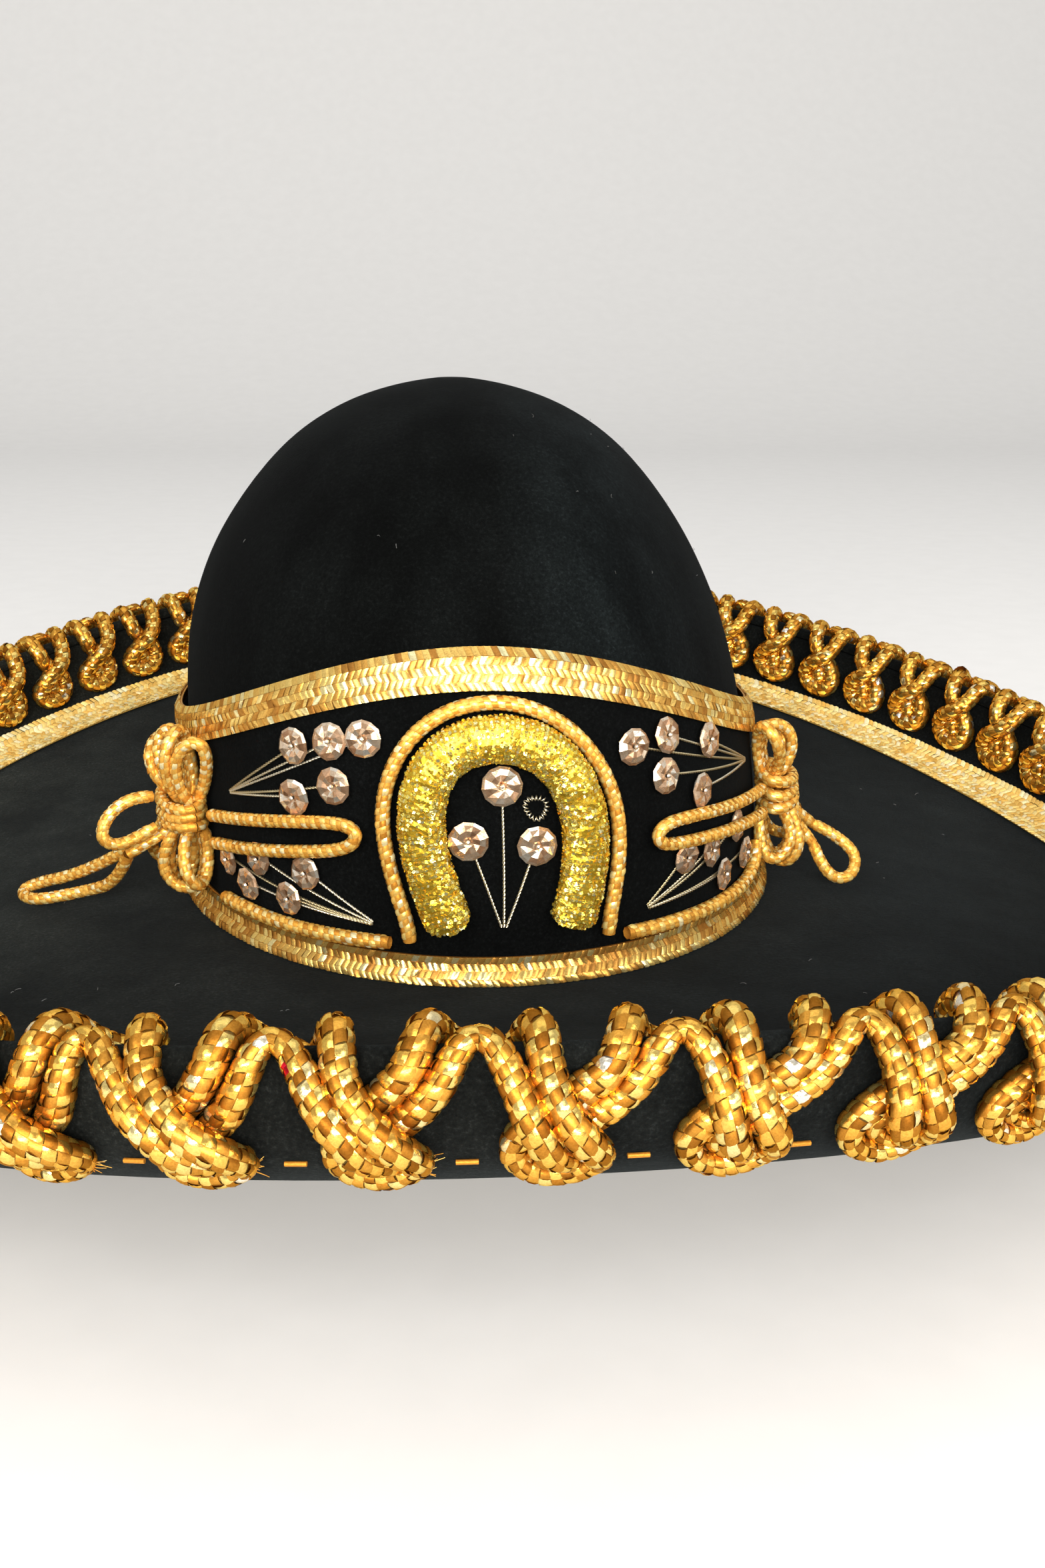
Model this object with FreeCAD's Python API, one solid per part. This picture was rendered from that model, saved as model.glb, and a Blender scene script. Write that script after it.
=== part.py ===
import FreeCAD, Part
import math
import os

# Broad-brimmed charro hat: an oval felt crown, a saddle-shaped brim with an upturned
# lip, a decorated band and a doubled gold cord laced round the lip.
# Millimetres. The floor is Z = 0, the front of the hat faces -Y, left means -X.

V = FreeCAD.Vector

# Overall
JUNCTION_Z = 24.0          # height of the brim where it meets the crown
SADDLE = 20.0              # brim rises this much front and back, drops this much at the sides
CROWN_A = 88.5             # outer half width of the crown base, left to right
CROWN_B = 103.0            # outer half width of the crown base, front to back
CROWN_WALL = 2.6
CROWN_LEAN = -7.0          # sideways drift of the dome toward the hat's left
LEAN_HEIGHT = 110.0
CREASE_DEPTH = 2.6         # soft vertical crease at the front of the dome
STATIONS = 72              # poles round the hat

# Dome outline: height above the junction, share of the base half width
CROWN_PROFILE = [
    (-4.8, 1.0), (8, 1.0), (25, 1.0), (53, 0.992), (75, 0.957), (88, 0.915), (100, 0.86),
    (110, 0.8), (121, 0.715), (131, 0.62), (139, 0.52), (146, 0.39), (150.5, 0.26), (153, 0.14),
]
CROWN_CAP = (153.9, 0.06)

# Brim
BRIM_FLAT_R = 229.0        # outer radius of the open brim, where the lip begins
BRIM_THICK = 5.0
COVER = 1.2                # velvet covers
LAYER_GAP = 0.2
LIP_TOP = 32.0             # lip top above the trough it rises from
LIP_ARC = 2.5              # rounding radius over the lip
# Inside face of the lip: radius, height above the trough
LIP_PROFILE = [
    (229.0, 0.4), (233.5, 1.3), (237.5, 3.1), (241.3, 5.8), (244.3, 9.6), (246.0, 14.5),
    (246.8, 19.0), (247.2, 24.0), (247.3, 27.0),
]

# Band and braids
BAND_FOOT = 2.0
BAND_SIDE_TOP = 51.5       # height of the top braid's centre line at the sides and back
BAND_FRONT_RISE = 34.2     # extra height at the front
BAND_CURVE = 1.9           # how narrow the rise is
BAND_OUT = 1.9
BRAID_WIDE = 10.4
BRAID_THICK = 1.3
RING_BRAID = (221.5, 236.5)

# Cords
TRIM_R = 2.1               # cord round the horseshoe and along the band foot
KNOT_R = 1.9               # cord of the side knots and their loops
LACE_UNITS = 60
LACE_SHIFT = 1.214         # crowds the lacing toward the back
LACE_PHASE = -0.138         # share of a unit that the lacing starts from the front centre
LACE_PITCH = 36.7          # unit pitch that the lacing paths are drawn for
FRONT_GROW = 0.87          # pitch at the front, as a share of that pitch
CORD_SLIM = 0.6            # how far the cord is pulled thin where the lacing crowds
SECTION_UNITS = (7, 8, 7, 8, 7, 8, 7, 8)

# One unit of lacing. Each row: place along the rim that scales with the pitch, fixed
# offset along the rim, distance down the outside from the lip top (negative is down the
# inside), height of the cord's middle off the surface, cord radius.
INNER_PATH = [
    (-17.0, 0.0, 0.9, 3.2, 1.6),
    (-13.4, 0.0, 1.9, 3.4, 2.1),
    (-9.8, 0.0, 6.0, 6.0, 2.4),
    (-7.0, 0.0, 10.3, 9.2, 2.49),
    (-4.4, 0.0, 13.5, 9.9, 2.49),
    (0.0, -1.9, 16.7, 9.6, 2.32),
    (0.0, 1.6, 19.4, 7.3, 1.7),
    (0.0, 2.6, 21.8, 4.6, 1.55),
    (0.0, 0.2, 23.0, 2.7, 1.5),
    (0.0, -2.5, 21.4, 2.4, 1.55),
    (0.0, -3.0, 18.9, 2.5, 1.7),
    (0.0, 0.2, 17.0, 2.9, 2.0),
    (3.4, 0.0, 14.9, 3.2, 2.41),
    (6.8, 0.0, 12.8, 3.3, 2.49),
    (10.2, 0.0, 9.9, 3.3, 2.49),
    (13.6, 0.0, 6.1, 3.3, 2.3),
    (16.8, 0.0, 1.9, 3.2, 2.1),
]
OUTER_PATH = [
    (-3.0, 0.0, 0.0, 5.3, 2.49),
    (-2.0, 0.0, 4.0, 4.3, 2.49),
    (-0.4, 0.0, 7.4, 7.8, 2.49),
    (1.7, 0.0, 11.0, 10.1, 2.49),
    (4.1, 0.0, 14.3, 10.2, 2.49),
    (0.0, 6.6, 17.5, 8.0, 2.32),
    (0.0, 7.8, 20.5, 4.8, 2.07),
    (0.0, 7.3, 23.2, 2.9, 1.99),
    (0.0, 4.7, 25.7, 2.6, 1.99),
    (0.0, 0.0, 26.6, 2.6, 1.99),
    (0.0, -4.7, 25.6, 2.6, 1.99),
    (0.0, -7.5, 22.5, 2.6, 1.99),
    (0.0, -7.8, 19.3, 2.7, 2.07),
    (0.0, -6.0, 15.8, 2.9, 2.24),
    (-2.9, 0.0, 12.4, 3.2, 2.41),
    (1.2, 0.0, 9.6, 3.2, 2.41),
    (5.0, 0.0, 6.6, 3.3, 2.49),
    (8.2, 0.0, 3.8, 3.8, 2.49),
    (10.6, 0.0, 0.0, 5.3, 2.49),
    (12.6, 0.0, -4.0, 5.0, 2.49),
    (15.8, 0.0, -7.4, 7.8, 2.49),
    (19.6, 1.4, -10.4, 9.6, 2.49),
    (22.2, 4.4, -13.5, 8.0, 2.49),
    (22.2, 7.0, -17.5, 4.8, 2.49),
    (22.2, 6.6, -21.8, 3.4, 2.49),
    (22.2, 3.6, -25.0, 3.3, 2.49),
    (22.2, -1.0, -25.7, 3.3, 2.49),
    (22.2, -4.6, -23.2, 3.3, 2.49),
    (22.2, -5.6, -18.9, 3.3, 2.49),
    (22.2, -4.6, -14.6, 3.3, 2.49),
    (22.2, -1.4, -10.6, 3.3, 2.49),
    (26.4, 1.0, -7.6, 3.3, 2.49),
    (31.4, 0.0, -4.3, 4.1, 2.49),
]


# Decoration of the band, as (along the band from the front centre, height) pairs
SEQUIN_THICK = 0.8
SEQUIN_LIFT = 3.7
STEM_R = 0.4
SPRAYS = {
    "centre": (5.5, (0.0, 14.5), [(2.6, 55.8), (-7.6, 41.0), (10.4, 39.2)]),
    "left_upper": (5.2, (-85.0, 42.8), [
        (-55.0, 62.5), (-43.5, 65.3), (-33.5, 67.0), (-43.0, 53.5), (-56.0, 48.3)]),
    "left_lower": (4.9, (-33.8, 15.0), [
        (-86.6, 22.6), (-72.0, 27.0), (-77.6, 17.8), (-61.5, 18.0), (-54.8, 27.0)]),
    "right_upper": (5.2, (99.0, 45.5), [
        (41.7, 62.5), (54.2, 63.6), (72.0, 58.6), (51.2, 53.0), (65.7, 45.5)]),
    "right_lower": (4.9, (41.0, 16.0), [
        (57.0, 28.0), (68.3, 27.0), (89.4, 19.6), (84.0, 29.6), (74.6, 17.9)]),
}

# Horseshoe: half outlines of the cord round it and of the padded shoe's middle line, from
# the top centre down to the foot
SHOE_MIDDLE = 2.0
SHOE_CORD = [
    (0.0, 78.0), (9.4, 76.6), (17.6, 72.6), (24.4, 66.2), (29.2, 57.8), (31.8, 48.2),
    (31.9, 38.6), (30.4, 29.0), (28.4, 21.0), (27.2, 15.6), (27.0, 12.2),
]
SHOE_PAD = [
    (0.0, 69.4), (8.2, 67.8), (14.8, 63.6), (19.0, 57.0), (21.0, 49.0), (21.2, 41.0),
    (20.0, 32.6), (18.0, 25.0), (16.2, 19.4), (15.2, 16.4),
]
PAD_HALF_WIDE = 6.2
PAD_HALF_DEEP = 4.4

# Cord along the band foot, as (share of the way from the horseshoe to the side knot,
# height); it turns up beside the right knot
FOOT_CORD_START = 32.6
KNOT_CLEAR = 13.6          # from a side knot's middle to the end of the foot cord
FOOT_CORD = [(0.0, 11.2), (0.14, 10.9), (0.31, 10.6), (0.48, 10.3), (0.65, 10.2), (0.8, 10.4)]
FOOT_CORD_END = {-1: [(0.9, 10.4), (1.0, 10.2)], 1: [(0.91, 11.8), (0.975, 15.0), (1.0, 19.5)]}

# Front loops of the side knots, laid over the band: (along, height)
LEFT_FRONT_LOOP = [
    (-88.2, 36.0), (-80.0, 37.6), (-70.0, 39.6), (-60.0, 41.6), (-50.0, 43.4), (-41.0, 44.6),
    (-36.8, 43.6), (-36.2, 41.0), (-38.6, 38.2), (-43.4, 36.4), (-53.0, 34.4), (-65.0, 32.0),
    (-77.0, 29.6), (-88.2, 27.8),
]
RIGHT_FRONT_LOOP = [
    (99.0, 36.8), (92.0, 37.4), (80.0, 38.4), (66.0, 40.0), (54.0, 41.2), (47.0, 41.0),
    (44.0, 38.8), (44.6, 36.0), (48.4, 34.6), (60.0, 33.6), (72.0, 32.4), (84.0, 31.2),
    (92.0, 30.2), (99.0, 29.4),
]
FRONT_LOOP_LIFT = 7.1

# Side knots: middle along the band from the front centre, and how far each of the four
# upright loops rises above the waist and hangs below it, from the front backward
KNOT_MIDDLE = {-1: 103.0, 1: 114.0}
KNOT_LOOPS = {
    -1: ((17.0, 14.0), (18.5, 17.5), (16.5, 18.5), (12.0, 15.0)),
    1: ((15.5, 15.0), (14.0, 18.5), (11.0, 19.0), (8.5, 15.0)),
}
KNOT_SPACING = 5.4
KNOT_HEIGHT = 33.5

# Free loops: corners of the cord's route, X, Y, and height above the junction
LEFT_FREE_LOOP = [
    (-105.5, -41.0, 20.0), (-121.0, -29.5, 8.0), (-144.0, -16.5, -0.6), (-140.0, -31.0, -0.6),
    (-122.0, -31.5, 2.6), (-110.5, -42.0, 9.0), (-106.0, -48.5, 20.0),
]
RIGHT_FREE_LOOP = [
    (103.5, -37.0, 14.0), (107.5, -40.0, 3.2), (117.5, -38.0, 2.6), (119.5, -30.0, 11.0),
    (105.0, -28.5, 18.0),
]

# Dashes of gold thread under the lip's outer fold
STITCH_R = 0.5
STITCH_LONG = 4.2
STITCH_STEP = 6.9
STITCH_DROP = 25.4
LOOP_CLEAR = 10.4          # half the width kept clear for each loop of lacing


def blend(x, table):
    for (x0, y0), (x1, y1) in zip(table, table[1:]):
        if x <= x1:
            return y0 + (y1 - y0) * (x - x0) / (x1 - x0)
    return table[-1][1]


def ease(t):
    t = min(max(t, 0.0), 1.0)
    return t * t * (3.0 - 2.0 * t)


def lean(h):
    return CROWN_LEAN * ease(h / LEAN_HEIGHT)


def crease(psi, h):
    turn = math.degrees(math.atan2(math.sin(psi), math.cos(psi))) - 3.0
    rise = ease((h - 86.0) / 25.0) * ease((150.0 - h) / 20.0)
    return -CREASE_DEPTH * rise * math.exp(-(turn / 13.0) ** 2)


def crown_at(psi, h, off, share=None):
    w = blend(h, CROWN_PROFILE) if share is None else share
    out = off + crease(psi, h)
    x = lean(h) + (CROWN_A * w + out) * math.sin(psi)
    y = -(CROWN_B * w + out) * math.cos(psi)
    return V(x, y, JUNCTION_Z + h)


def on_band(s, h, off):
    # s runs along the band from the front centre, positive toward the hat's right (+X)
    return crown_at(math.radians(s / 1.59), h, off)


def band_top(psi):
    front = max(math.cos(psi), 0.0)
    return BAND_SIDE_TOP + BAND_FRONT_RISE * front ** BAND_CURVE


def around(count=STATIONS):
    return [2.0 * math.pi * i / count for i in range(count)]


def firm(ring):
    # Moves the poles of an even closed ring so that the curve passes through the points
    n = len(ring)
    out = []
    for i, p in enumerate(ring):
        bend = ring[i - 1] + ring[(i + 1) % n] - p * 2.0
        out.append(p - bend * (1.0 / 6.0))
    return out


def closed_knots(n):
    return [1] * (n + 1), [float(i) for i in range(n + 1)]


def open_knots(n):
    return [4] + [1] * (n - 4) + [4], [float(i) for i in range(n - 2)]


def make_solid(faces):
    shell = Part.Shell(faces)
    if len(faces) > 1:
        shell.sewShape()
    solid = Part.Solid(shell)
    if solid.Volume < 0:
        solid.reverse()
    return solid


def ring_solid(rows):
    # rows[i][j]: pole i of the closed section, at station j of the closed run
    surf = Part.BSplineSurface()
    um, uk = closed_knots(len(rows))
    vm, vk = closed_knots(len(rows[0]))
    surf.buildFromPolesMultsKnots(rows, um, vm, uk, vk, True, True, 3, 3)
    return make_solid([surf.toShape()])


def capped_solid(rows):
    # rows[i][j]: ring i of a run with two flat ends
    surf = Part.BSplineSurface()
    um, uk = open_knots(len(rows))
    vm, vk = closed_knots(len(rows[0]))
    surf.buildFromPolesMultsKnots(rows, um, vm, uk, vk, False, True, 3, 3)
    side = surf.toShape()
    ends = [e for e in side.Edges if e.isClosed()]
    caps = [Part.Face(Part.Wire([e])) for e in ends]
    return make_solid([side] + caps)


def frames(points, closed):
    # A frame that turns as little as possible along the run
    n = len(points)
    tangents = []
    for i in range(n):
        a = points[i - 1] if (closed or i > 0) else points[i]
        b = points[(i + 1) % n] if (closed or i < n - 1) else points[i]
        t = b - a
        tangents.append(t.normalize())
    first = V(0, 0, 1) if abs(tangents[0].z) < 0.9 else V(1, 0, 0)
    side = tangents[0].cross(first).normalize()
    out = []
    for t in tangents:
        side = (side - t * side.dot(t)).normalize()
        out.append((t, side, t.cross(side)))
    return out


def tube(points, radii, closed=False, spokes=6):
    if not isinstance(radii, (list, tuple)):
        radii = [radii] * len(points)
    swell = 1.0 / (1.0 - (1.0 - math.cos(2.0 * math.pi / spokes)) / 3.0)
    rings = []
    for p, r, (t, a, b) in zip(points, radii, frames(points, closed)):
        ring = []
        for k in range(spokes):
            angle = 2.0 * math.pi * k / spokes
            ring.append(p + (a * math.cos(angle) + b * math.sin(angle)) * (r * swell))
        rings.append(ring)
    return ring_solid(rings) if closed else capped_solid(rings)


def arc_rod(a, middle, b, radius):
    # Round rod along the arc through three points
    arc = Part.Arc(a, middle, b).toShape()
    tangent = arc.tangentAt(arc.FirstParameter)
    ring = Part.Wire([Part.makeCircle(radius, a, tangent)])
    return Part.Wire([arc]).makePipeShell([ring], True, False)


def flat_tube(points, outs, wide, deep, spokes=10):
    # Tube with an oval section: wide across the surface, deep along the outward vector
    rings = []
    for p, out, (t, a, b) in zip(points, outs, frames(points, False)):
        up = (out - t * out.dot(t)).normalize()
        across = t.cross(up)
        ring = []
        for k in range(spokes):
            angle = 2.0 * math.pi * k / spokes
            ring.append(p + across * (wide * math.cos(angle)) + up * (deep * math.sin(angle)))
        rings.append(ring)
    return capped_solid(rings)


def save(shape, name):
    shape.exportStep("parts/" + name + ".step")


# ---------------------------------------------------------------- crown
def crown_side(gap):
    # Outline moved in by gap, as (share of half width, inset, height) stations
    pts = [(CROWN_A * w, h) for h, w in CROWN_PROFILE] + [(CROWN_A * CROWN_CAP[1], CROWN_CAP[0])]
    out = []
    for i, (x, h) in enumerate(pts):
        x0, h0 = pts[max(i - 1, 0)]
        x1, h1 = pts[min(i + 1, len(pts) - 1)]
        size = math.hypot(x1 - x0, h1 - h0)
        nx = (h1 - h0) / size
        nh = -(x1 - x0) / size
        if i == len(pts) - 1:
            nx, nh = 0.0, 1.0
        out.append((x / CROWN_A, -gap * nx, h - gap * nh))
    out[0] = (out[0][0], out[0][1], CROWN_PROFILE[0][0])
    return out


def crown_shell():
    stations = list(reversed(crown_side(CROWN_WALL))) + crown_side(0.0)
    rows = []
    for share, inset, h in stations:
        rows.append(firm([crown_at(p, h, inset, share) for p in around()]))
    return capped_solid(rows)


def wall_ring(low, high, inner, outer, steps=6):
    # Band round the crown; low, high, inner and outer are functions of the turn
    rows = []
    for k in range(steps + 1):
        f = k / steps
        rows.append(firm([
            crown_at(p, low(p) + (high(p) - low(p)) * f, outer(f)) for p in around()]))
    for k in range(steps, -1, -1):
        f = k / steps
        rows.append(firm([
            crown_at(p, low(p) + (high(p) - low(p)) * f, inner(f)) for p in around()]))
    return ring_solid(rows)


# ---------------------------------------------------------------- brim
def brim_point(psi, r_or_q, z_rel, flat):
    if flat:
        q = r_or_q
        x = (CROWN_A + 0.3 + (BRIM_FLAT_R - CROWN_A - 0.3) * q) * math.sin(psi)
        y = -(CROWN_B + 0.3 + (BRIM_FLAT_R - CROWN_B - 0.3) * q) * math.cos(psi)
        z = JUNCTION_Z + 0.4 * q + SADDLE * math.cos(2.0 * psi) * ease(q) + z_rel
        return V(x, y, z)
    r = r_or_q
    z = JUNCTION_Z + SADDLE * math.cos(2.0 * psi) + z_rel
    return V(r * math.sin(psi), -r * math.cos(psi), z)


def lip_offset(d):
    out = []
    n = len(LIP_PROFILE)
    for i, (r, z) in enumerate(LIP_PROFILE):
        r0, z0 = LIP_PROFILE[max(i - 1, 0)]
        r1, z1 = LIP_PROFILE[min(i + 1, n - 1)]
        if i == 0:
            z1 = z0
        if i == n - 1:
            r1 = r0
        size = math.hypot(r1 - r0, z1 - z0)
        out.append((r + d * (z1 - z0) / size, z - d * (r1 - r0) / size))
    return out


FLAT_SHARES = [0.0, 0.05, 0.14, 0.26, 0.38, 0.5, 0.62, 0.74, 0.85, 0.94]


def brim_line(d):
    # One surface of the brim, d below its top, from the crown out to the lip
    line = [(q, -d, True) for q in FLAT_SHARES]
    return line + [(r, z, False) for r, z in lip_offset(d)]


def lip_arc(radius, start, end, steps):
    centre = LIP_PROFILE[-1][0] + BRIM_THICK / 2.0
    out = []
    for k in range(steps + 1):
        a = math.radians(start + (end - start) * k / steps)
        r = centre + radius * math.cos(a)
        out.append((r, LIP_TOP - LIP_ARC + radius * math.sin(a), False))
    return out


def brim_solid(section):
    rows = []
    for value, z, flat in section:
        rows.append(firm([brim_point(p, value, z, flat) for p in around()]))
    return ring_solid(rows)


def brim_under_cover():
    inner = BRIM_THICK - COVER
    fold = LIP_ARC - COVER
    section = brim_line(BRIM_THICK)
    section += lip_arc(LIP_ARC, 0.0, 180.0, 5)
    r_in = LIP_PROFILE[-1][0]
    section += [(r_in, LIP_TOP - LIP_ARC - 1.6, False), (r_in + COVER, LIP_TOP - LIP_ARC - 1.6, False)]
    section += lip_arc(fold, 180.0, 0.0, 4)
    section += list(reversed(brim_line(inner)))
    whole = brim_solid(section)
    # The felt gives a little where the drooping sides stand on the floor
    below = Part.makeBox(560, 560, 10, V(-280, -280, -10))
    return whole.cut(below)


def brim_layer(top, bottom, drop):
    outer = brim_line(bottom)
    inner = brim_line(top)
    outer[-1] = (outer[-1][0], outer[-1][1] - drop, False)
    inner[-1] = (inner[-1][0], inner[-1][1] - drop, False)
    return brim_solid(outer + list(reversed(inner)))


def brim_top_height(r):
    if r <= BRIM_FLAT_R:
        return 0.4
    return blend(r, LIP_PROFILE)


def brim_braid_ring():
    low, high = RING_BRAID
    rows = []
    steps = 5
    for lift, order in ((0.3, range(steps + 1)), (0.3 + BRAID_THICK, range(steps, -1, -1))):
        for k in order:
            r = low + (high - low) * k / steps
            ring = []
            for p in around():
                ring.append(brim_point(p, r, brim_top_height(r) + lift, False))
            rows.append(firm(ring))
    return ring_solid(rows)


# ---------------------------------------------------------------- lacing
def edge_line():
    # Outline of the lip from the foot of its inside face, over the top, to its outside foot
    line = list(LIP_PROFILE)
    line += [(r, z) for r, z, flat in lip_arc(LIP_ARC, 180.0, 0.0, 10)]
    line += list(reversed(lip_offset(BRIM_THICK)))
    return line


EDGE = edge_line()
EDGE_TOP = len(LIP_PROFILE) + 5


def edge_lengths():
    total = [0.0]
    for (r0, z0), (r1, z1) in zip(EDGE, EDGE[1:]):
        total.append(total[-1] + math.hypot(r1 - r0, z1 - z0))
    return [t - total[EDGE_TOP] for t in total]


EDGE_LENGTHS = edge_lengths()


def edge_at(u):
    i = 0
    while i < len(EDGE) - 2 and EDGE_LENGTHS[i + 1] < u:
        i += 1
    f = (u - EDGE_LENGTHS[i]) / (EDGE_LENGTHS[i + 1] - EDGE_LENGTHS[i])
    r = EDGE[i][0] + (EDGE[i + 1][0] - EDGE[i][0]) * f
    z = EDGE[i][1] + (EDGE[i + 1][1] - EDGE[i][1]) * f
    return r, z


def lip_at(psi, u, w):
    r0, z0 = edge_at(u - 1.2)
    r1, z1 = edge_at(u + 1.2)
    size = math.hypot(r1 - r0, z1 - z0)
    r, z = edge_at(u)
    r -= w * (z1 - z0) / size
    z += w * (r1 - r0) / size
    return brim_point(psi, r, z, False)


def lace_angle(i):
    half = math.pi * (i + LACE_PHASE) / LACE_UNITS
    return 2.0 * math.atan2(LACE_SHIFT * math.sin(half), math.cos(half))


def lace_points(path, unit):
    psi = lace_angle(unit)
    grow_after = (lace_angle(unit + 1) - psi) * 251.0 / LACE_PITCH
    grow_before = (psi - lace_angle(unit - 1)) * 251.0 / LACE_PITCH
    points = []
    radii = []
    slim = CORD_SLIM + (1.0 - CORD_SLIM) * (grow_after + grow_before) / 2.0 / FRONT_GROW
    for along, fixed, u, w, radius in path:
        grow = grow_after if along > 0 else grow_before
        t = along * grow + fixed
        points.append(lip_at(psi + t / 251.0, u, w))
        radii.append(radius * slim)
    return points, radii


def lace_run(path, first, count):
    points = []
    radii = []
    for unit in range(first, first + count):
        p, r = lace_points(path, unit)
        points += p
        radii += r
    return tube(points, radii)


def lace_sections():
    out = []
    first = -3
    for count in SECTION_UNITS:
        runs = [lace_run(INNER_PATH, first, count), lace_run(OUTER_PATH, first, count)]
        out.append(Part.makeCompound(runs))
        first += count
    return out


# ---------------------------------------------------------------- band and its cords
def hat_band():
    return wall_ring(
        lambda p: BAND_FOOT, lambda p: band_top(p) + 3.0,
        lambda f: 0.3, lambda f: BAND_OUT, 9)


def band_top_braid():
    half = BRAID_WIDE / 2.0
    base = BAND_OUT + 0.2

    def settle(f):
        return base - 1.1 * ease((f - 0.8) / 0.2)

    return wall_ring(
        lambda p: band_top(p) - half, lambda p: band_top(p) + half,
        settle, lambda f: settle(f) + BRAID_THICK, 6)


def band_foot_braid():
    base = BAND_OUT + 0.2

    def flare(f):
        return base + 2.6 * ease((0.75 - f) / 0.75)

    return wall_ring(
        lambda p: 0.5, lambda p: 7.9, flare, lambda f: flare(f) + BRAID_THICK, 6)


def sweatband():
    return wall_ring(
        lambda p: -4.2, lambda p: 34.0,
        lambda f: -CROWN_WALL - 1.4, lambda f: -CROWN_WALL - 0.2, 6)


def band_run(pairs, off):
    return [on_band(s, h, off) for s, h in pairs]


def foot_cord(side):
    start = side * FOOT_CORD_START + SHOE_MIDDLE
    end = side * (KNOT_MIDDLE[side] - KNOT_CLEAR)
    pairs = [(start + (end - start) * share, h) for share, h in FOOT_CORD + FOOT_CORD_END[side]]
    return tube(band_run(pairs, BAND_OUT + 0.5 + TRIM_R), TRIM_R)


def shoe_run(half):
    left = [(SHOE_MIDDLE - s, h) for s, h in reversed(half[1:])]
    return left + [(SHOE_MIDDLE + s, h) for s, h in half]


def horseshoe_cord():
    return tube(band_run(shoe_run(SHOE_CORD), BAND_OUT + 0.5 + TRIM_R), TRIM_R)


def band_out(s, h):
    along = on_band(s + 1.0, h, BAND_OUT) - on_band(s - 1.0, h, BAND_OUT)
    up = on_band(s, h + 1.0, BAND_OUT) - on_band(s, h - 1.0, BAND_OUT)
    return along.cross(up).normalize()


def horseshoe_pad():
    off = BAND_OUT + 0.3 + PAD_HALF_DEEP
    run = shoe_run(SHOE_PAD)
    outs = [band_out(s, h) for s, h in run]
    return flat_tube(band_run(run, off), outs, PAD_HALF_WIDE, PAD_HALF_DEEP)


def sequins(spray):
    radius, foot, places = SPRAYS[spray]
    discs = []
    for s, h in places:
        base = on_band(s, h, SEQUIN_LIFT)
        discs.append(Part.makeCylinder(radius, SEQUIN_THICK, base, band_out(s, h)))
    return Part.makeCompound(discs)


def stems(spray):
    radius, foot, places = SPRAYS[spray]
    threads = []
    for s, h in places:
        first = 5.0 / math.hypot(s - foot[0], h - foot[1])
        pairs = []
        for f in (first, 0.5 + first / 2.0, 1.0):
            pairs.append((foot[0] + (s - foot[0]) * f, foot[1] + (h - foot[1]) * f))
        a, middle, b = band_run(pairs, BAND_OUT + 0.4 + STEM_R)
        threads.append(arc_rod(a, middle, b, STEM_R))
    return Part.makeCompound(threads)


def curled_thread():
    points = []
    for k in range(12):
        a = 2.0 * math.pi * k / 12
        points.append(on_band(11.3 + 2.9 * math.cos(a), 49.4 + 2.9 * math.sin(a), BAND_OUT + 1.0))
    return tube(points, 0.6, True, 6)


# ---------------------------------------------------------------- side knots
def knot_loop(s, low, high, near, far, lean_out):
    # One upright loop of cord standing off the band: near and far are its two strands
    mid = (near + far) / 2.0
    half = (far - near) / 2.0
    flow = (high - low) / 4.0
    turn = [
        (low, near), (low + flow, near), (high - flow, near + 0.1), (high - 1.2, near + 0.6),
        (high, mid), (high - 1.2, far - 0.3), (high - flow, far + lean_out),
        (low + flow, far + lean_out / 2.0), (low, far - 0.4), (low - 1.6, mid),
    ]
    if half <= 0:
        return None
    return tube([on_band(s, h, off) for h, off in turn], KNOT_R, True)


def side_knot(side):
    near = BAND_OUT + 0.35 + KNOT_R
    pieces = []
    for k, (rise, drop) in enumerate(KNOT_LOOPS[side]):
        s = side * (KNOT_MIDDLE[side] + KNOT_SPACING * (k - 1.5))
        far = near + 8.4 + 1.2 * (k % 2)
        high = near + 1.8
        pieces.append(knot_loop(s, KNOT_HEIGHT + 5.6, KNOT_HEIGHT + 5.6 + rise, high, far, 2.2))
        pieces.append(knot_loop(s, KNOT_HEIGHT - 5.8 - drop, KNOT_HEIGHT - 5.8, near, far, 2.6))
    reach = KNOT_SPACING * 1.5 + 2.6
    for h in (KNOT_HEIGHT - 2.05, KNOT_HEIGHT + 2.05):
        wrap = []
        for k in range(14):
            a = 2.0 * math.pi * k / 14
            along = side * KNOT_MIDDLE[side] + reach * math.cos(a)
            wrap.append(on_band(along, h, near + 4.4 + 4.4 * math.sin(a)))
        pieces.append(tube(wrap, KNOT_R, True))
    return Part.makeCompound(pieces)


def front_loop(pairs):
    return tube(band_run(pairs, FRONT_LOOP_LIFT), KNOT_R)


def side_loop(side):
    # Small loop standing out sideways from the middle of the knot
    s = side * (KNOT_MIDDLE[side] + 1.0)
    near = BAND_OUT + 0.35 + KNOT_R + 13.2
    turn = [
        (0.0, 4.6), (5.0, 5.0), (10.0, 3.6), (14.0, 0.4), (16.4, -3.8), (15.2, -7.4),
        (11.0, -8.6), (6.4, -7.2), (0.0, -4.6),
    ]
    return tube([on_band(s, KNOT_HEIGHT + h, near + off) for off, h in turn], KNOT_R)


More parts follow.
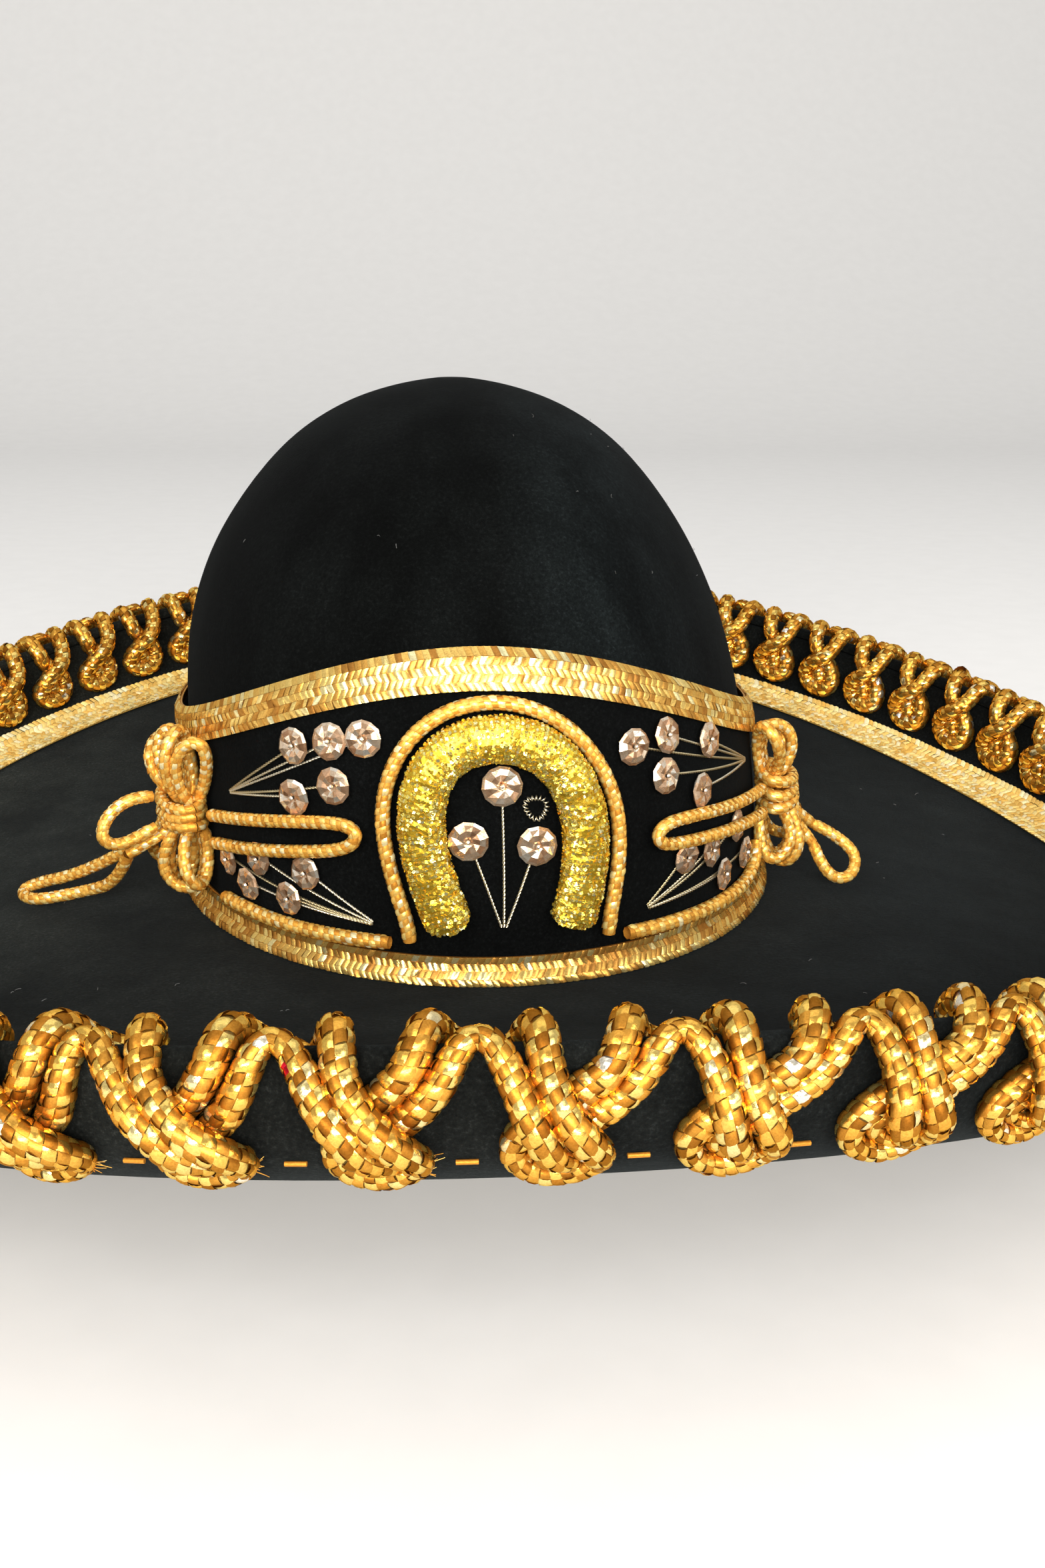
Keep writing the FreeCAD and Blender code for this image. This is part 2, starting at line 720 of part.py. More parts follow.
def rounded_route(name, corners, radius):
    # Straight runs joined by tangent arcs, swept with a round section
    points = [V(x, y, z + JUNCTION_Z) for x, y, z in corners]
    edges = []
    bends = []
    start = points[0]
    for before, corner, after in zip(points, points[1:], points[2:]):
        a = (before - corner)
        b = (after - corner)
        run = min(a.Length, b.Length)
        a = a.normalize()
        b = b.normalize()
        half_turn = (math.pi - a.getAngle(b)) / 2.0
        bend = 0.45 * run / math.tan(half_turn)
        bends.append(round(bend, 1))
        back = bend * math.tan(half_turn)
        p0 = corner + a * back
        p1 = corner + b * back
        inward = (a + b).normalize()
        centre = corner + inward * (bend / math.cos(half_turn))
        middle = centre - inward * bend
        edges.append(Part.makeLine(start, p0))
        edges.append(Part.Arc(p0, middle, p1).toShape())
        start = p1
    edges.append(Part.makeLine(start, points[-1]))
    wire = Part.Wire(edges)
    first = (points[1] - points[0]).normalize()
    ring = Part.Wire([Part.makeCircle(radius, points[0], first)])
    solid = wire.makePipeShell([ring], True, False)
    section = math.pi * radius * radius
    print(name, "arc radii", bends, "length", round(wire.Length, 1))
    print(name, "volume", round(solid.Volume, 1), "section by length", round(section * wire.Length, 1))
    return solid


# ---------------------------------------------------------------- stitches
def edge_stitches():
    dashes = []
    clear = LOOP_CLEAR / 250.0
    step = STITCH_STEP / 250.0
    long = STITCH_LONG / 250.0
    for unit in range(LACE_UNITS):
        start = lace_angle(unit) + clear
        room = lace_angle(unit + 1) - clear - start
        count = int((room + step - long) / step)
        if count < 1:
            continue
        first = start + (room - (count * step - (step - long))) / 2.0
        for k in range(count):
            psi = first + k * step
            a = lip_at(psi, STITCH_DROP, STITCH_R + 0.25)
            b = lip_at(psi + long, STITCH_DROP, STITCH_R + 0.25)
            dashes.append(Part.makeCylinder(STITCH_R, (b - a).Length, a, b - a))
    return Part.makeCompound(dashes)


def main():
    os.makedirs("parts", exist_ok=True)
    save(crown_shell(), "crown_shell")
    save(sweatband(), "sweatband")
    save(brim_under_cover(), "brim_under_cover")
    top = COVER + LAYER_GAP
    low = BRIM_THICK - COVER - LAYER_GAP
    save(brim_layer(top, low, -0.6), "brim_core")
    save(brim_layer(0.0, COVER, -0.4), "brim_top_cover")
    save(brim_braid_ring(), "brim_braid_ring")
    save(edge_stitches(), "edge_stitches")
    save(hat_band(), "hat_band")
    save(band_top_braid(), "band_top_braid")
    save(band_foot_braid(), "band_foot_braid")
    save(foot_cord(-1), "band_foot_cord_left")
    save(foot_cord(1), "band_foot_cord_right")
    save(horseshoe_cord(), "horseshoe_cord")
    save(horseshoe_pad(), "horseshoe_pad")
    save(curled_thread(), "curled_thread")
    for spray in SPRAYS:
        save(sequins(spray), "sequins_" + spray)
        save(stems(spray), "stems_" + spray)
    for name, side in (("left", -1), ("right", 1)):
        save(side_knot(side), name + "_knot")
    save(side_loop(-1), "left_side_loop")
    save(front_loop(LEFT_FRONT_LOOP), "left_front_loop")
    save(front_loop(RIGHT_FRONT_LOOP), "right_front_loop")
    for name, corners in (("left_free_loop", LEFT_FREE_LOOP), ("right_free_loop", RIGHT_FREE_LOOP)):
        save(rounded_route(name, corners, KNOT_R), name)
    for i, section in enumerate(lace_sections()):
        save(section, "rim_cord_" + str(i + 1))


main()
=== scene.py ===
import math

import bmesh
import bpy
import numpy as np
from mathutils import Matrix, Vector


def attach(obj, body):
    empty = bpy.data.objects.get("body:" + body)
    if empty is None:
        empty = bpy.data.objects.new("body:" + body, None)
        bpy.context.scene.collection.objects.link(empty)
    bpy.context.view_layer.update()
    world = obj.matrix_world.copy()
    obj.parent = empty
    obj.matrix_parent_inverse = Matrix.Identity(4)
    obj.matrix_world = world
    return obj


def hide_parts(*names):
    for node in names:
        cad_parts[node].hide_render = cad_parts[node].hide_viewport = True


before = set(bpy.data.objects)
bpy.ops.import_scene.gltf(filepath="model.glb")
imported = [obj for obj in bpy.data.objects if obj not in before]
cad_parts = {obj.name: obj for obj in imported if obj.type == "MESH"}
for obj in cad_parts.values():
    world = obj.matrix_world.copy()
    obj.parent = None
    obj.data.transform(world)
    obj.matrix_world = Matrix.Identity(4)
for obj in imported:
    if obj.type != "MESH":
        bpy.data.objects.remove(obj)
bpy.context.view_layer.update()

# ------------------------------------------------------------------ shape of the hat, mm
MM = 0.001
TURN = 2.0 * math.pi
JUNCTION_Z = 24.0
SADDLE = 20.0
CROWN_A = 88.5
CROWN_B = 103.0
CROWN_LEAN = -7.0
LEAN_HEIGHT = 110.0
CREASE_DEPTH = 2.6
CROWN_PROFILE = [
    (-4.8, 1.0), (8, 1.0), (25, 1.0), (53, 0.992), (75, 0.957), (88, 0.915), (100, 0.86),
    (110, 0.8), (121, 0.715), (131, 0.62), (139, 0.52), (146, 0.39), (150.5, 0.26), (153, 0.14),
]
BRIM_THICK = 5.0
LIP_TOP = 32.0
LIP_ARC = 2.5
LIP_PROFILE = [
    (229.0, 0.4), (233.5, 1.3), (237.5, 3.1), (241.3, 5.8), (244.3, 9.6), (246.0, 14.5),
    (246.8, 19.0), (247.2, 24.0), (247.3, 27.0),
]
BRIM_FLAT_R = 229.0
JOIN_R = 96.0              # about where the brim leaves the crown
RING_BRAID = (221.5, 236.5)
BAND_DEGREE = 1.59         # distance along the band for each degree round the crown
BAND_SIDE_TOP = 51.5
BAND_FRONT_RISE = 34.2
BAND_CURVE = 1.9
BAND_OUT = 1.9
BRAID_WIDE = 10.4
BRAID_THICK = 1.3
TRIM_R = 2.1
KNOT_R = 1.9
LACE_UNITS = 60
LACE_SHIFT = 1.214
LACE_PHASE = -0.138
LACE_PITCH = 36.7
LACE_R = 251.0             # radius at which the lacing's places along the rim are measured
FRONT_GROW = 0.87
SECTION_UNITS = (7, 8, 7, 8, 7, 8, 7, 8)
FIRST_UNIT = -3
CORD_FULL = 1.38           # the soft braided cord is fuller than its stiff middle
SLIM_LOOK = 0.86           # the visible cord thins less where the lacing crowds
RED_SPOT = (-53.0, -252.9, 73.8)   # one strip of the lacing is red
RED_REACH = 1.25
RED_TONE = 1.6             # tones above 1 are red
TAIL_PLACE = 7.2           # along the rim from a unit's middle to its thread ends
TAIL_DROP = 24.4
ARM_SPREAD = 0.15          # how much the lacing's soft arms spread at the front as they rise
SPREAD_MIDDLE = -0.09      # turn about which they spread, radians
SPREAD_FOOT = 20.0         # distance down the outside where the spread begins
INNER_SWELL = 0.16         # extra fullness of the loops that lie down the lip's inside

# One unit of lacing: place along the rim that scales with the pitch, fixed offset along
# the rim, distance down the outside from the lip top (negative is down the inside),
# height of the cord's middle off the surface, cord radius.
INNER_PATH = [
    (-17.0, 0.0, 0.9, 3.2, 1.6),
    (-13.4, 0.0, 1.9, 3.4, 2.1),
    (-9.8, 0.0, 6.0, 6.0, 2.4),
    (-7.0, 0.0, 10.3, 9.2, 2.49),
    (-4.4, 0.0, 13.5, 9.9, 2.49),
    (0.0, -1.9, 16.7, 9.6, 2.32),
    (0.0, 1.6, 19.4, 7.3, 1.7),
    (0.0, 2.6, 21.8, 4.6, 1.55),
    (0.0, 0.2, 23.0, 2.7, 1.5),
    (0.0, -2.5, 21.4, 2.4, 1.55),
    (0.0, -3.0, 18.9, 2.5, 1.7),
    (0.0, 0.2, 17.0, 2.9, 2.0),
    (3.4, 0.0, 14.9, 3.2, 2.41),
    (6.8, 0.0, 12.8, 3.3, 2.49),
    (10.2, 0.0, 9.9, 3.3, 2.49),
    (13.6, 0.0, 6.1, 3.3, 2.3),
    (16.8, 0.0, 1.9, 3.2, 2.1),
]
OUTER_PATH = [
    (-5.6, 0.0, 0.0, 5.3, 2.49),
    (-4.8, 0.0, 4.0, 4.3, 2.49),
    (-2.8, 0.0, 7.4, 6.9, 2.49),
    (0.2, 0.0, 11.0, 9.3, 2.49),
    (4.1, 0.0, 14.3, 10.2, 2.49),
    (0.0, 6.6, 17.5, 8.0, 2.32),
    (0.0, 7.8, 20.5, 4.8, 2.07),
    (0.0, 7.3, 23.2, 2.9, 1.99),
    (0.0, 4.7, 25.7, 2.6, 1.99),
    (0.0, 0.0, 26.6, 2.6, 1.99),
    (0.0, -4.7, 25.6, 2.6, 1.99),
    (0.0, -7.5, 22.5, 2.6, 1.99),
    (0.0, -7.8, 19.3, 2.7, 2.07),
    (0.0, -6.0, 15.8, 2.9, 2.24),
    (-2.9, 0.0, 12.4, 3.2, 2.41),
    (1.2, 0.0, 9.6, 3.2, 2.41),
    (5.0, 0.0, 6.6, 3.3, 2.49),
    (8.2, 0.0, 3.8, 3.8, 2.49),
    (10.6, 0.0, 0.0, 5.3, 2.49),
    (12.6, 0.0, -4.0, 5.0, 2.49),
    (15.8, 0.0, -7.4, 7.8, 2.49),
    (19.6, 1.4, -10.4, 9.6, 2.49),
    (22.2, 4.4, -13.5, 8.0, 2.49),
    (22.2, 7.0, -17.5, 4.8, 2.49),
    (22.2, 6.6, -21.8, 3.4, 2.49),
    (22.2, 3.6, -25.0, 3.3, 2.49),
    (22.2, -1.0, -25.7, 3.3, 2.49),
    (22.2, -4.6, -23.2, 3.3, 2.49),
    (22.2, -5.6, -18.9, 3.3, 2.49),
    (22.2, -4.6, -14.6, 3.3, 2.49),
    (22.2, -1.4, -10.6, 3.3, 2.49),
    (25.2, 1.0, -7.6, 3.3, 2.49),
    (29.0, 0.0, -4.3, 4.1, 2.49),
]

# Band decoration, as (along the band from the front centre, height)
SPRAYS = {
    "centre": (5.5, (0.0, 14.5), [(2.6, 55.8), (-7.6, 41.0), (10.4, 39.2)]),
    "left_upper": (5.2, (-85.0, 42.8), [
        (-55.0, 62.5), (-43.5, 65.3), (-33.5, 67.0), (-43.0, 53.5), (-56.0, 48.3)]),
    "left_lower": (4.9, (-33.8, 15.0), [
        (-86.6, 22.6), (-72.0, 27.0), (-77.6, 17.8), (-61.5, 18.0), (-54.8, 27.0)]),
    "right_upper": (5.2, (99.0, 45.5), [
        (41.7, 62.5), (54.2, 63.6), (72.0, 58.6), (51.2, 53.0), (65.7, 45.5)]),
    "right_lower": (4.9, (41.0, 16.0), [
        (57.0, 28.0), (68.3, 27.0), (89.4, 19.6), (84.0, 29.6), (74.6, 17.9)]),
}
SEQUIN_LIFT = 3.7
SHOE_MIDDLE = 2.0
SHOE_CORD = [
    (0.0, 78.0), (9.4, 76.6), (17.6, 72.6), (24.4, 66.2), (29.2, 57.8), (31.8, 48.2),
    (31.9, 38.6), (30.4, 29.0), (28.4, 21.0), (27.2, 15.6), (27.0, 12.2),
]
SHOE_PAD = [
    (0.0, 69.4), (8.2, 67.8), (14.8, 63.6), (19.0, 57.0), (21.0, 49.0), (21.2, 41.0),
    (20.0, 32.6), (18.0, 25.0), (16.2, 19.4), (15.2, 16.4),
]
PAD_HALF_WIDE = 6.2
PAD_HALF_DEEP = 4.4
FOOT_CORD_START = 32.6
KNOT_CLEAR = 13.6
FOOT_CORD = [(0.0, 11.2), (0.14, 10.9), (0.31, 10.6), (0.48, 10.3), (0.65, 10.2), (0.8, 10.4)]
FOOT_CORD_END = {-1: [(0.9, 10.4), (1.0, 10.2)], 1: [(0.91, 11.8), (0.975, 15.0), (1.0, 19.5)]}
LEFT_FRONT_LOOP = [
    (-88.2, 36.0), (-80.0, 37.6), (-70.0, 39.6), (-60.0, 41.6), (-50.0, 43.4), (-41.0, 44.6),
    (-36.8, 43.6), (-36.2, 41.0), (-38.6, 38.2), (-43.4, 36.4), (-53.0, 34.4), (-65.0, 32.0),
    (-77.0, 29.6), (-88.2, 27.8),
]
RIGHT_FRONT_LOOP = [
    (99.0, 36.8), (92.0, 37.4), (80.0, 38.4), (66.0, 40.0), (54.0, 41.2), (47.0, 41.0),
    (44.0, 38.8), (44.6, 36.0), (48.4, 34.6), (60.0, 33.6), (72.0, 32.4), (84.0, 31.2),
    (92.0, 30.2), (99.0, 29.4),
]
FRONT_LOOP_LIFT = 7.1
KNOT_MIDDLE = {-1: 103.0, 1: 114.0}
KNOT_LOOPS = {
    -1: ((17.0, 14.0), (18.5, 17.5), (16.5, 18.5), (12.0, 15.0)),
    1: ((15.5, 15.0), (14.0, 18.5), (11.0, 19.0), (8.5, 15.0)),
}
KNOT_SPACING = 5.4
KNOT_HEIGHT = 33.5
LEFT_FREE_LOOP = [
    (-105.5, -41.0, 20.0), (-121.0, -29.5, 8.0), (-144.0, -16.5, -0.6), (-140.0, -31.0, -0.6),
    (-122.0, -31.5, 2.6), (-110.5, -42.0, 9.0), (-106.0, -48.5, 20.0),
]
RIGHT_FREE_LOOP = [
    (103.5, -37.0, 14.0), (107.5, -40.0, 3.2), (117.5, -38.0, 2.6), (119.5, -30.0, 11.0),
    (105.0, -28.5, 18.0),
]


def blend(x, table):
    # Straight-line reading of a table of (x, value)
    for (x0, y0), (x1, y1) in zip(table, table[1:]):
        if x <= x1:
            return y0 + (y1 - y0) * (x - x0) / (x1 - x0)
    return table[-1][1]


def ease(t):
    # Smooth step from 0 to 1
    t = min(max(t, 0.0), 1.0)
    return t * t * (3.0 - 2.0 * t)


def lean(h):
    # The crown leans to one side as it rises
    return CROWN_LEAN * ease(h / LEAN_HEIGHT)


def crease(psi, h):
    # Shallow hollow down the crown's front
    turn = math.degrees(math.atan2(math.sin(psi), math.cos(psi))) - 3.0
    rise = ease((h - 86.0) / 25.0) * ease((150.0 - h) / 20.0)
    return -CREASE_DEPTH * rise * math.exp(-(turn / 13.0) ** 2)


def crown_at(psi, h, off):
    # Point at turn psi from the front and height h above the junction, off the crown's face
    w = blend(h, CROWN_PROFILE)
    out = off + crease(psi, h)
    x = lean(h) + (CROWN_A * w + out) * math.sin(psi)
    y = -(CROWN_B * w + out) * math.cos(psi)
    return np.array((x, y, JUNCTION_Z + h))


def on_band(s, h, off):
    # Point at distance s along the band from the front centre
    return crown_at(math.radians(s / BAND_DEGREE), h, off)


def band_out(s, h):
    # Direction straight out of the band
    along = on_band(s + 1.0, h, BAND_OUT) - on_band(s - 1.0, h, BAND_OUT)
    up = on_band(s, h + 1.0, BAND_OUT) - on_band(s, h - 1.0, BAND_OUT)
    out = np.cross(along, up)
    return out / np.linalg.norm(out)


def band_top(psi):
    front = max(math.cos(psi), 0.0)
    return BAND_SIDE_TOP + BAND_FRONT_RISE * front ** BAND_CURVE


def lip_offset(d):
    # The lip's inside face, moved out by d
    out = []
    n = len(LIP_PROFILE)
    for i, (r, z) in enumerate(LIP_PROFILE):
        r0, z0 = LIP_PROFILE[max(i - 1, 0)]
        r1, z1 = LIP_PROFILE[min(i + 1, n - 1)]
        if i == 0:
            z1 = z0
        if i == n - 1:
            r1 = r0
        size = math.hypot(r1 - r0, z1 - z0)
        out.append((r + d * (z1 - z0) / size, z - d * (r1 - r0) / size))
    return out


def edge_line():
    # Outline of the lip up its inside face, over the top and down its outside
    line = list(LIP_PROFILE)
    centre = LIP_PROFILE[-1][0] + BRIM_THICK / 2.0
    for k in range(11):
        a = math.pi * (1.0 - k / 10.0)
        line.append((centre + LIP_ARC * math.cos(a), LIP_TOP - LIP_ARC + LIP_ARC * math.sin(a)))
    return line + list(reversed(lip_offset(BRIM_THICK)))


EDGE = edge_line()
EDGE_TOP = len(LIP_PROFILE) + 5


def edge_lengths():
    # Distance of each outline point from the lip's top, down the outside
    total = [0.0]
    for (r0, z0), (r1, z1) in zip(EDGE, EDGE[1:]):
        total.append(total[-1] + math.hypot(r1 - r0, z1 - z0))
    return [t - total[EDGE_TOP] for t in total]


EDGE_LENGTHS = edge_lengths()


def edge_at(u):
    # Radius and height at distance u down the outside
    i = 0
    while i < len(EDGE) - 2 and EDGE_LENGTHS[i + 1] < u:
        i += 1
    f = (u - EDGE_LENGTHS[i]) / (EDGE_LENGTHS[i + 1] - EDGE_LENGTHS[i])
    r = EDGE[i][0] + (EDGE[i + 1][0] - EDGE[i][0]) * f
    z = EDGE[i][1] + (EDGE[i + 1][1] - EDGE[i][1]) * f
    return r, z


def brim_place(psi, r, z):
    # The brim's saddle lifts the front and back and lowers the sides
    return np.array((r * math.sin(psi), -r * math.cos(psi),
                     z + JUNCTION_Z + SADDLE * math.cos(2.0 * psi)))


def lip_at(psi, u, w):
    # Point at distance u down the lip's outside, at height w off its face
    r0, z0 = edge_at(u - 1.2)
    r1, z1 = edge_at(u + 1.2)
    size = math.hypot(r1 - r0, z1 - z0)
    r, z = edge_at(u)
    return brim_place(psi, r - w * (z1 - z0) / size, z + w * (r1 - r0) / size)


def lace_angle(i):
    # The units stand closer together at the back than at the front
    half = math.pi * (i + LACE_PHASE) / LACE_UNITS
    return 2.0 * math.atan2(LACE_SHIFT * math.sin(half), math.cos(half))


def arm_spread(psi, u):
    # The soft arms lean outward as they rise
    turn = psi - SPREAD_MIDDLE
    reach = ARM_SPREAD * math.sin(turn) * max(math.cos(turn), 0.0) ** 4
    return reach * ease((SPREAD_FOOT - u) / SPREAD_FOOT)


# The doubled cord's second strand, tucked inside the loop that lies down the lip's inside
LOOP_FILL = [
    (22.2, 2.6, -9.8, 4.6, 1.2), (22.2, 2.2, -13.0, 4.4, 2.2), (22.2, 1.4, -16.6, 4.0, 2.5),
    (22.2, 0.8, -20.2, 3.6, 2.4), (22.2, 0.6, -23.2, 3.2, 1.6),
]


def lace_points(path, unit):
    # Points and radii of one unit of the lacing
    psi = lace_angle(unit)
    grow_after = (lace_angle(unit + 1) - psi) * LACE_R / LACE_PITCH
    grow_before = (psi - lace_angle(unit - 1)) * LACE_R / LACE_PITCH
    slim = SLIM_LOOK + (1.0 - SLIM_LOOK) * (grow_after + grow_before) / 2.0 / FRONT_GROW
    points = []
    radii = []
    for along, fixed, u, w, radius in path:
        grow = grow_after if along > 0 else grow_before
        turn = psi + (along * grow + fixed) / LACE_R
        points.append(lip_at(turn + arm_spread(turn, u), u, w))
        radii.append(radius * slim * CORD_FULL * (1.0 + INNER_SWELL * ease((-12.0 - u) / 6.0)))
    return points, radii


# ------------------------------------------------------------------ curve helpers
def even_steps(fine, values, step):
    # The same run, read again at even distances
    length = np.concatenate([[0.0], np.cumsum(np.linalg.norm(np.diff(fine, axis=0), axis=1))])
    count = max(int(round(length[-1] / step)), 3)
    at = np.linspace(0.0, length[-1], count + 1)
    even = np.stack([np.interp(at, length, fine[:, k]) for k in range(3)], 1)
    return even, np.interp(at, length, values), at


def smooth_run(points, radii, step, closed=False):
    # Even points along the cubic spline that has these control points
    pts = np.array(points, float)
    rad = np.array(radii, float)
    if closed:
        pts = np.vstack([pts[-1:], pts, pts[:2]])
        rad = np.concatenate([rad[-1:], rad, rad[:2]])
    else:
        pts = np.vstack([2 * pts[0] - pts[1], pts, 2 * pts[-1] - pts[-2]])
        rad = np.concatenate([rad[:1], rad, rad[-1:]])
    t = np.linspace(0.0, 1.0, 13)[:-1]
    basis = np.stack([(1 - t) ** 3, 3 * t ** 3 - 6 * t ** 2 + 4,
                      -3 * t ** 3 + 3 * t ** 2 + 3 * t + 1, t ** 3], 1) / 6.0
    fine = [basis @ pts[i:i + 4] for i in range(len(pts) - 3)]
    finer = [basis @ rad[i:i + 4] for i in range(len(pts) - 3)]
    last = np.array([1.0, 4.0, 1.0]) / 6.0
    fine.append((last @ pts[-3:])[None, :])
    finer.append(np.array([last @ rad[-3:]]))
    return even_steps(np.vstack(fine), np.concatenate(finer), step)


def run_frames(points):
    # Two directions across the run that turn as little as possible along it
    tangents = np.gradient(points, axis=0)
    tangents /= np.linalg.norm(tangents, axis=1)[:, None]
    start = (0.0, 0.0, 1.0) if abs(tangents[0][2]) < 0.9 else (1.0, 0.0, 0.0)
    side = np.cross(tangents[0], start)
    sides = []
    for t in tangents:
        side = side - t * side.dot(t)
        side = side / np.linalg.norm(side)
        sides.append(side)
    sides = np.array(sides)
    return sides, np.cross(tangents, sides)


# ------------------------------------------------------------------ mesh helpers
class Pile:
    # Collects quads with a tone each, which the material reads as its colour variation
    def __init__(self):
        self.verts = []
        self.faces = []
        self.tones = []
        self.count = 0

    def add(self, verts, faces, tones):
        verts = np.asarray(verts, float).reshape(-1, 3)
        faces = np.asarray(faces, int).reshape(-1, 4)
        self.verts.append(verts)
        self.faces.append(faces + self.count)
        self.tones.append(np.broadcast_to(np.asarray(tones, float), (len(faces),)))
        self.count += len(verts)

    def fleck(self, spot, reach):
        # The strips near the spot are red ones
        verts = np.vstack(self.verts)
        middle = verts[np.vstack(self.faces)].mean(axis=1)
        tones = np.concatenate(self.tones)
        tones[np.linalg.norm(middle - np.array(spot), axis=1) < reach] = RED_TONE
        self.tones = [tones]

    def build(self, name, material, smooth=True, body="hat", replaces=()):
        verts = np.vstack(self.verts).astype(np.float32) * MM
        faces = np.vstack(self.faces).astype(np.int32)
        mesh = bpy.data.meshes.new(name)
        mesh.vertices.add(len(verts))
        mesh.vertices.foreach_set("co", verts.ravel())
        mesh.loops.add(faces.size)
        mesh.loops.foreach_set("vertex_index", faces.ravel())
        mesh.polygons.add(len(faces))
        mesh.polygons.foreach_set("loop_start", np.arange(0, faces.size, 4, dtype=np.int32))
        mesh.polygons.foreach_set("loop_total", np.full(len(faces), 4, np.int32))
        mesh.update(calc_edges=True)
        layer = mesh.attributes.new("tone", "FLOAT", "FACE")
        layer.data.foreach_set("value", np.concatenate(self.tones).astype(np.float32))
        mesh.polygons.foreach_set("use_smooth", np.full(len(faces), smooth))
        mesh.materials.append(material)
        obj = bpy.data.objects.new(name, mesh)
        bpy.context.scene.collection.objects.link(obj)
        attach(obj, body)
        if replaces:
            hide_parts(*replaces)
        return obj


def grid_faces(rows, columns, wrap=False):
    # Quads between neighbouring rows of points
    i = np.arange(rows - 1)[:, None]
    k = np.arange(columns if wrap else columns - 1)[None, :]
    nxt = (k + 1) % columns
    return np.stack([i * columns + k, i * columns + nxt,
                     (i + 1) * columns + nxt, (i + 1) * columns + k], -1).reshape(-1, 4)


def rod(pile, even, radii, tone, spokes=8):
    # Plain round skin along even points
    side, other = run_frames(even)
    a = TURN * np.arange(spokes) / spokes
    ring = (side[:, None, :] * np.cos(a)[None, :, None]
            + other[:, None, :] * np.sin(a)[None, :, None])
    verts = even[:, None, :] + ring * np.asarray(radii, float).reshape(-1, 1, 1)
    pile.add(verts, grid_faces(len(even), spokes, True), tone)


def twist(pile, even, radius, tone, strands=2, pitch=2.2, spokes=5):
    # Fine strands of wire wound round one another
    side, other = run_frames(even)
    at = np.concatenate([[0.0], np.cumsum(np.linalg.norm(np.diff(even, axis=0), axis=1))])
    for k in range(strands):
        a = TURN * (at / pitch + k / strands)
        line = even + (side * np.cos(a)[:, None] + other * np.sin(a)[:, None]) * radius * 0.5
        rod(pile, line, np.full(len(line), radius * 0.56), tone, spokes)


def plait(pile, points, radii, rng, strips=8, cell=2.3, climb=2, sub=3, closed=False, even=None):
    # Checkerboard of flat metallic strips round a cord: each cell is a small pillow whose
    # strip runs along the cord or round it and dives under its neighbours at both ends
    if even is None:
        even, rad, at = smooth_run(points, radii, cell / 4.0, closed)
    else:
        even, rad, at = even_steps(np.array(even), np.array(radii), cell / 4.0)
    side, other = run_frames(even)
    total = at[-1]
    rows = int(total / cell)
    jj, ii = np.meshgrid(np.arange(-climb, rows + 1), np.arange(strips), indexing="ij")
    jj = jj.ravel()
    ii = ii.ravel()
    a = np.linspace(0.0, 1.0, sub + 1)
    uu, vv = np.meshgrid(a, a, indexing="ij")
    uu = uu.ravel()[None, :]
    vv = vv.ravel()[None, :]
    warp = ((ii + jj) % 2 == 0)[:, None]
    span_u = np.where(warp, 0.04, -0.12)
    span_v = np.where(warp, -0.12, 0.04)
    cu = ii[:, None] + span_u + uu * (1.0 - 2.0 * span_u)
    cv = jj[:, None] + span_v + vv * (1.0 - 2.0 * span_v)
    s = (cv + climb * cu / strips) * cell
    phi = TURN * cu / strips
    keep = (s.min(axis=1) >= 0.0) & (s.max(axis=1) <= total)
    s, phi, warp = s[keep], phi[keep], warp[keep]
    n = len(s)
    along = np.where(warp, vv, uu)
    across = np.where(warp, uu, vv)
    arch = np.sin(along * math.pi) ** 0.6
    tilt = rng.normal(0.0, 0.20, (n, 1))
    tip = rng.normal(0.0, 0.14, (n, 1))
    lift = -0.26 + 0.42 * arch + tilt * (across - 0.5) + tip * (along - 0.5)
    lift -= 0.10 * (2.0 * across - 1.0) ** 2
    index = np.clip(s / (total / (len(even) - 1)), 0, len(even) - 1.001)
    lo = index.astype(int)
    f = (index - lo)[..., None]

    def pick(array):
        return array[lo] * (1.0 - f) + array[lo + 1] * f

    r = rad[lo] * (1.0 - f[..., 0]) + rad[lo + 1] * f[..., 0]
    dist = r - 0.12 + lift * r / 3.0
    ray = pick(side) * np.cos(phi)[..., None] + pick(other) * np.sin(phi)[..., None]
    verts = pick(even) + ray * dist[..., None]
    base = (np.arange(n) * (sub + 1) ** 2)[:, None, None]
    gi = np.arange(sub)
    corner = (gi[:, None] * (sub + 1) + gi[None, :]).ravel()[None, :, None]
    faces = base + corner + np.array([0, sub + 1, sub + 2, 1])[None, None, :]
    tone = rng.random(n)
    tone = np.where(warp[:, 0], 0.50 + 0.50 * tone, 0.46 * tone)
    pile.add(verts, faces, np.repeat(tone, sub * sub))
    rod(pile, even, rad * 0.88 - 0.04, 0.1)


def tape(pile, place, length, columns, cell, rng, sub=2):
    # Woven tape: place(s, v) gives a point at s along it and v across it from -1 to 1;
    # its strips lie in a herringbone
    rows = int(length / cell)
    step = length / rows
    grid = np.linspace(0.0, 1.0, sub + 1)
    for j in range(rows):
        for i in range(columns):
            lean_way = 1.0 if i % 2 else -1.0
            tilt = rng.normal(0.0, 0.16)
            tip = rng.normal(0.0, 0.16)
            cells = []
            for a in grid:
                for b in grid:
                    v = (i + 0.02 + 0.96 * a) / columns * 2.0 - 1.0
                    s = (j + 0.5 * lean_way * (a - 0.5) + 0.02 + b * 0.98) * step
                    arch = math.sin(math.pi * b) ** 0.7 * 0.34 - 0.10 * (2.0 * a - 1.0) ** 2
                    cells.append(place(s, v, arch + tilt * (a - 0.5) + tip * (b - 0.5)))
            tone = rng.random()
            pile.add(cells, grid_faces(sub + 1, sub + 1), tone)


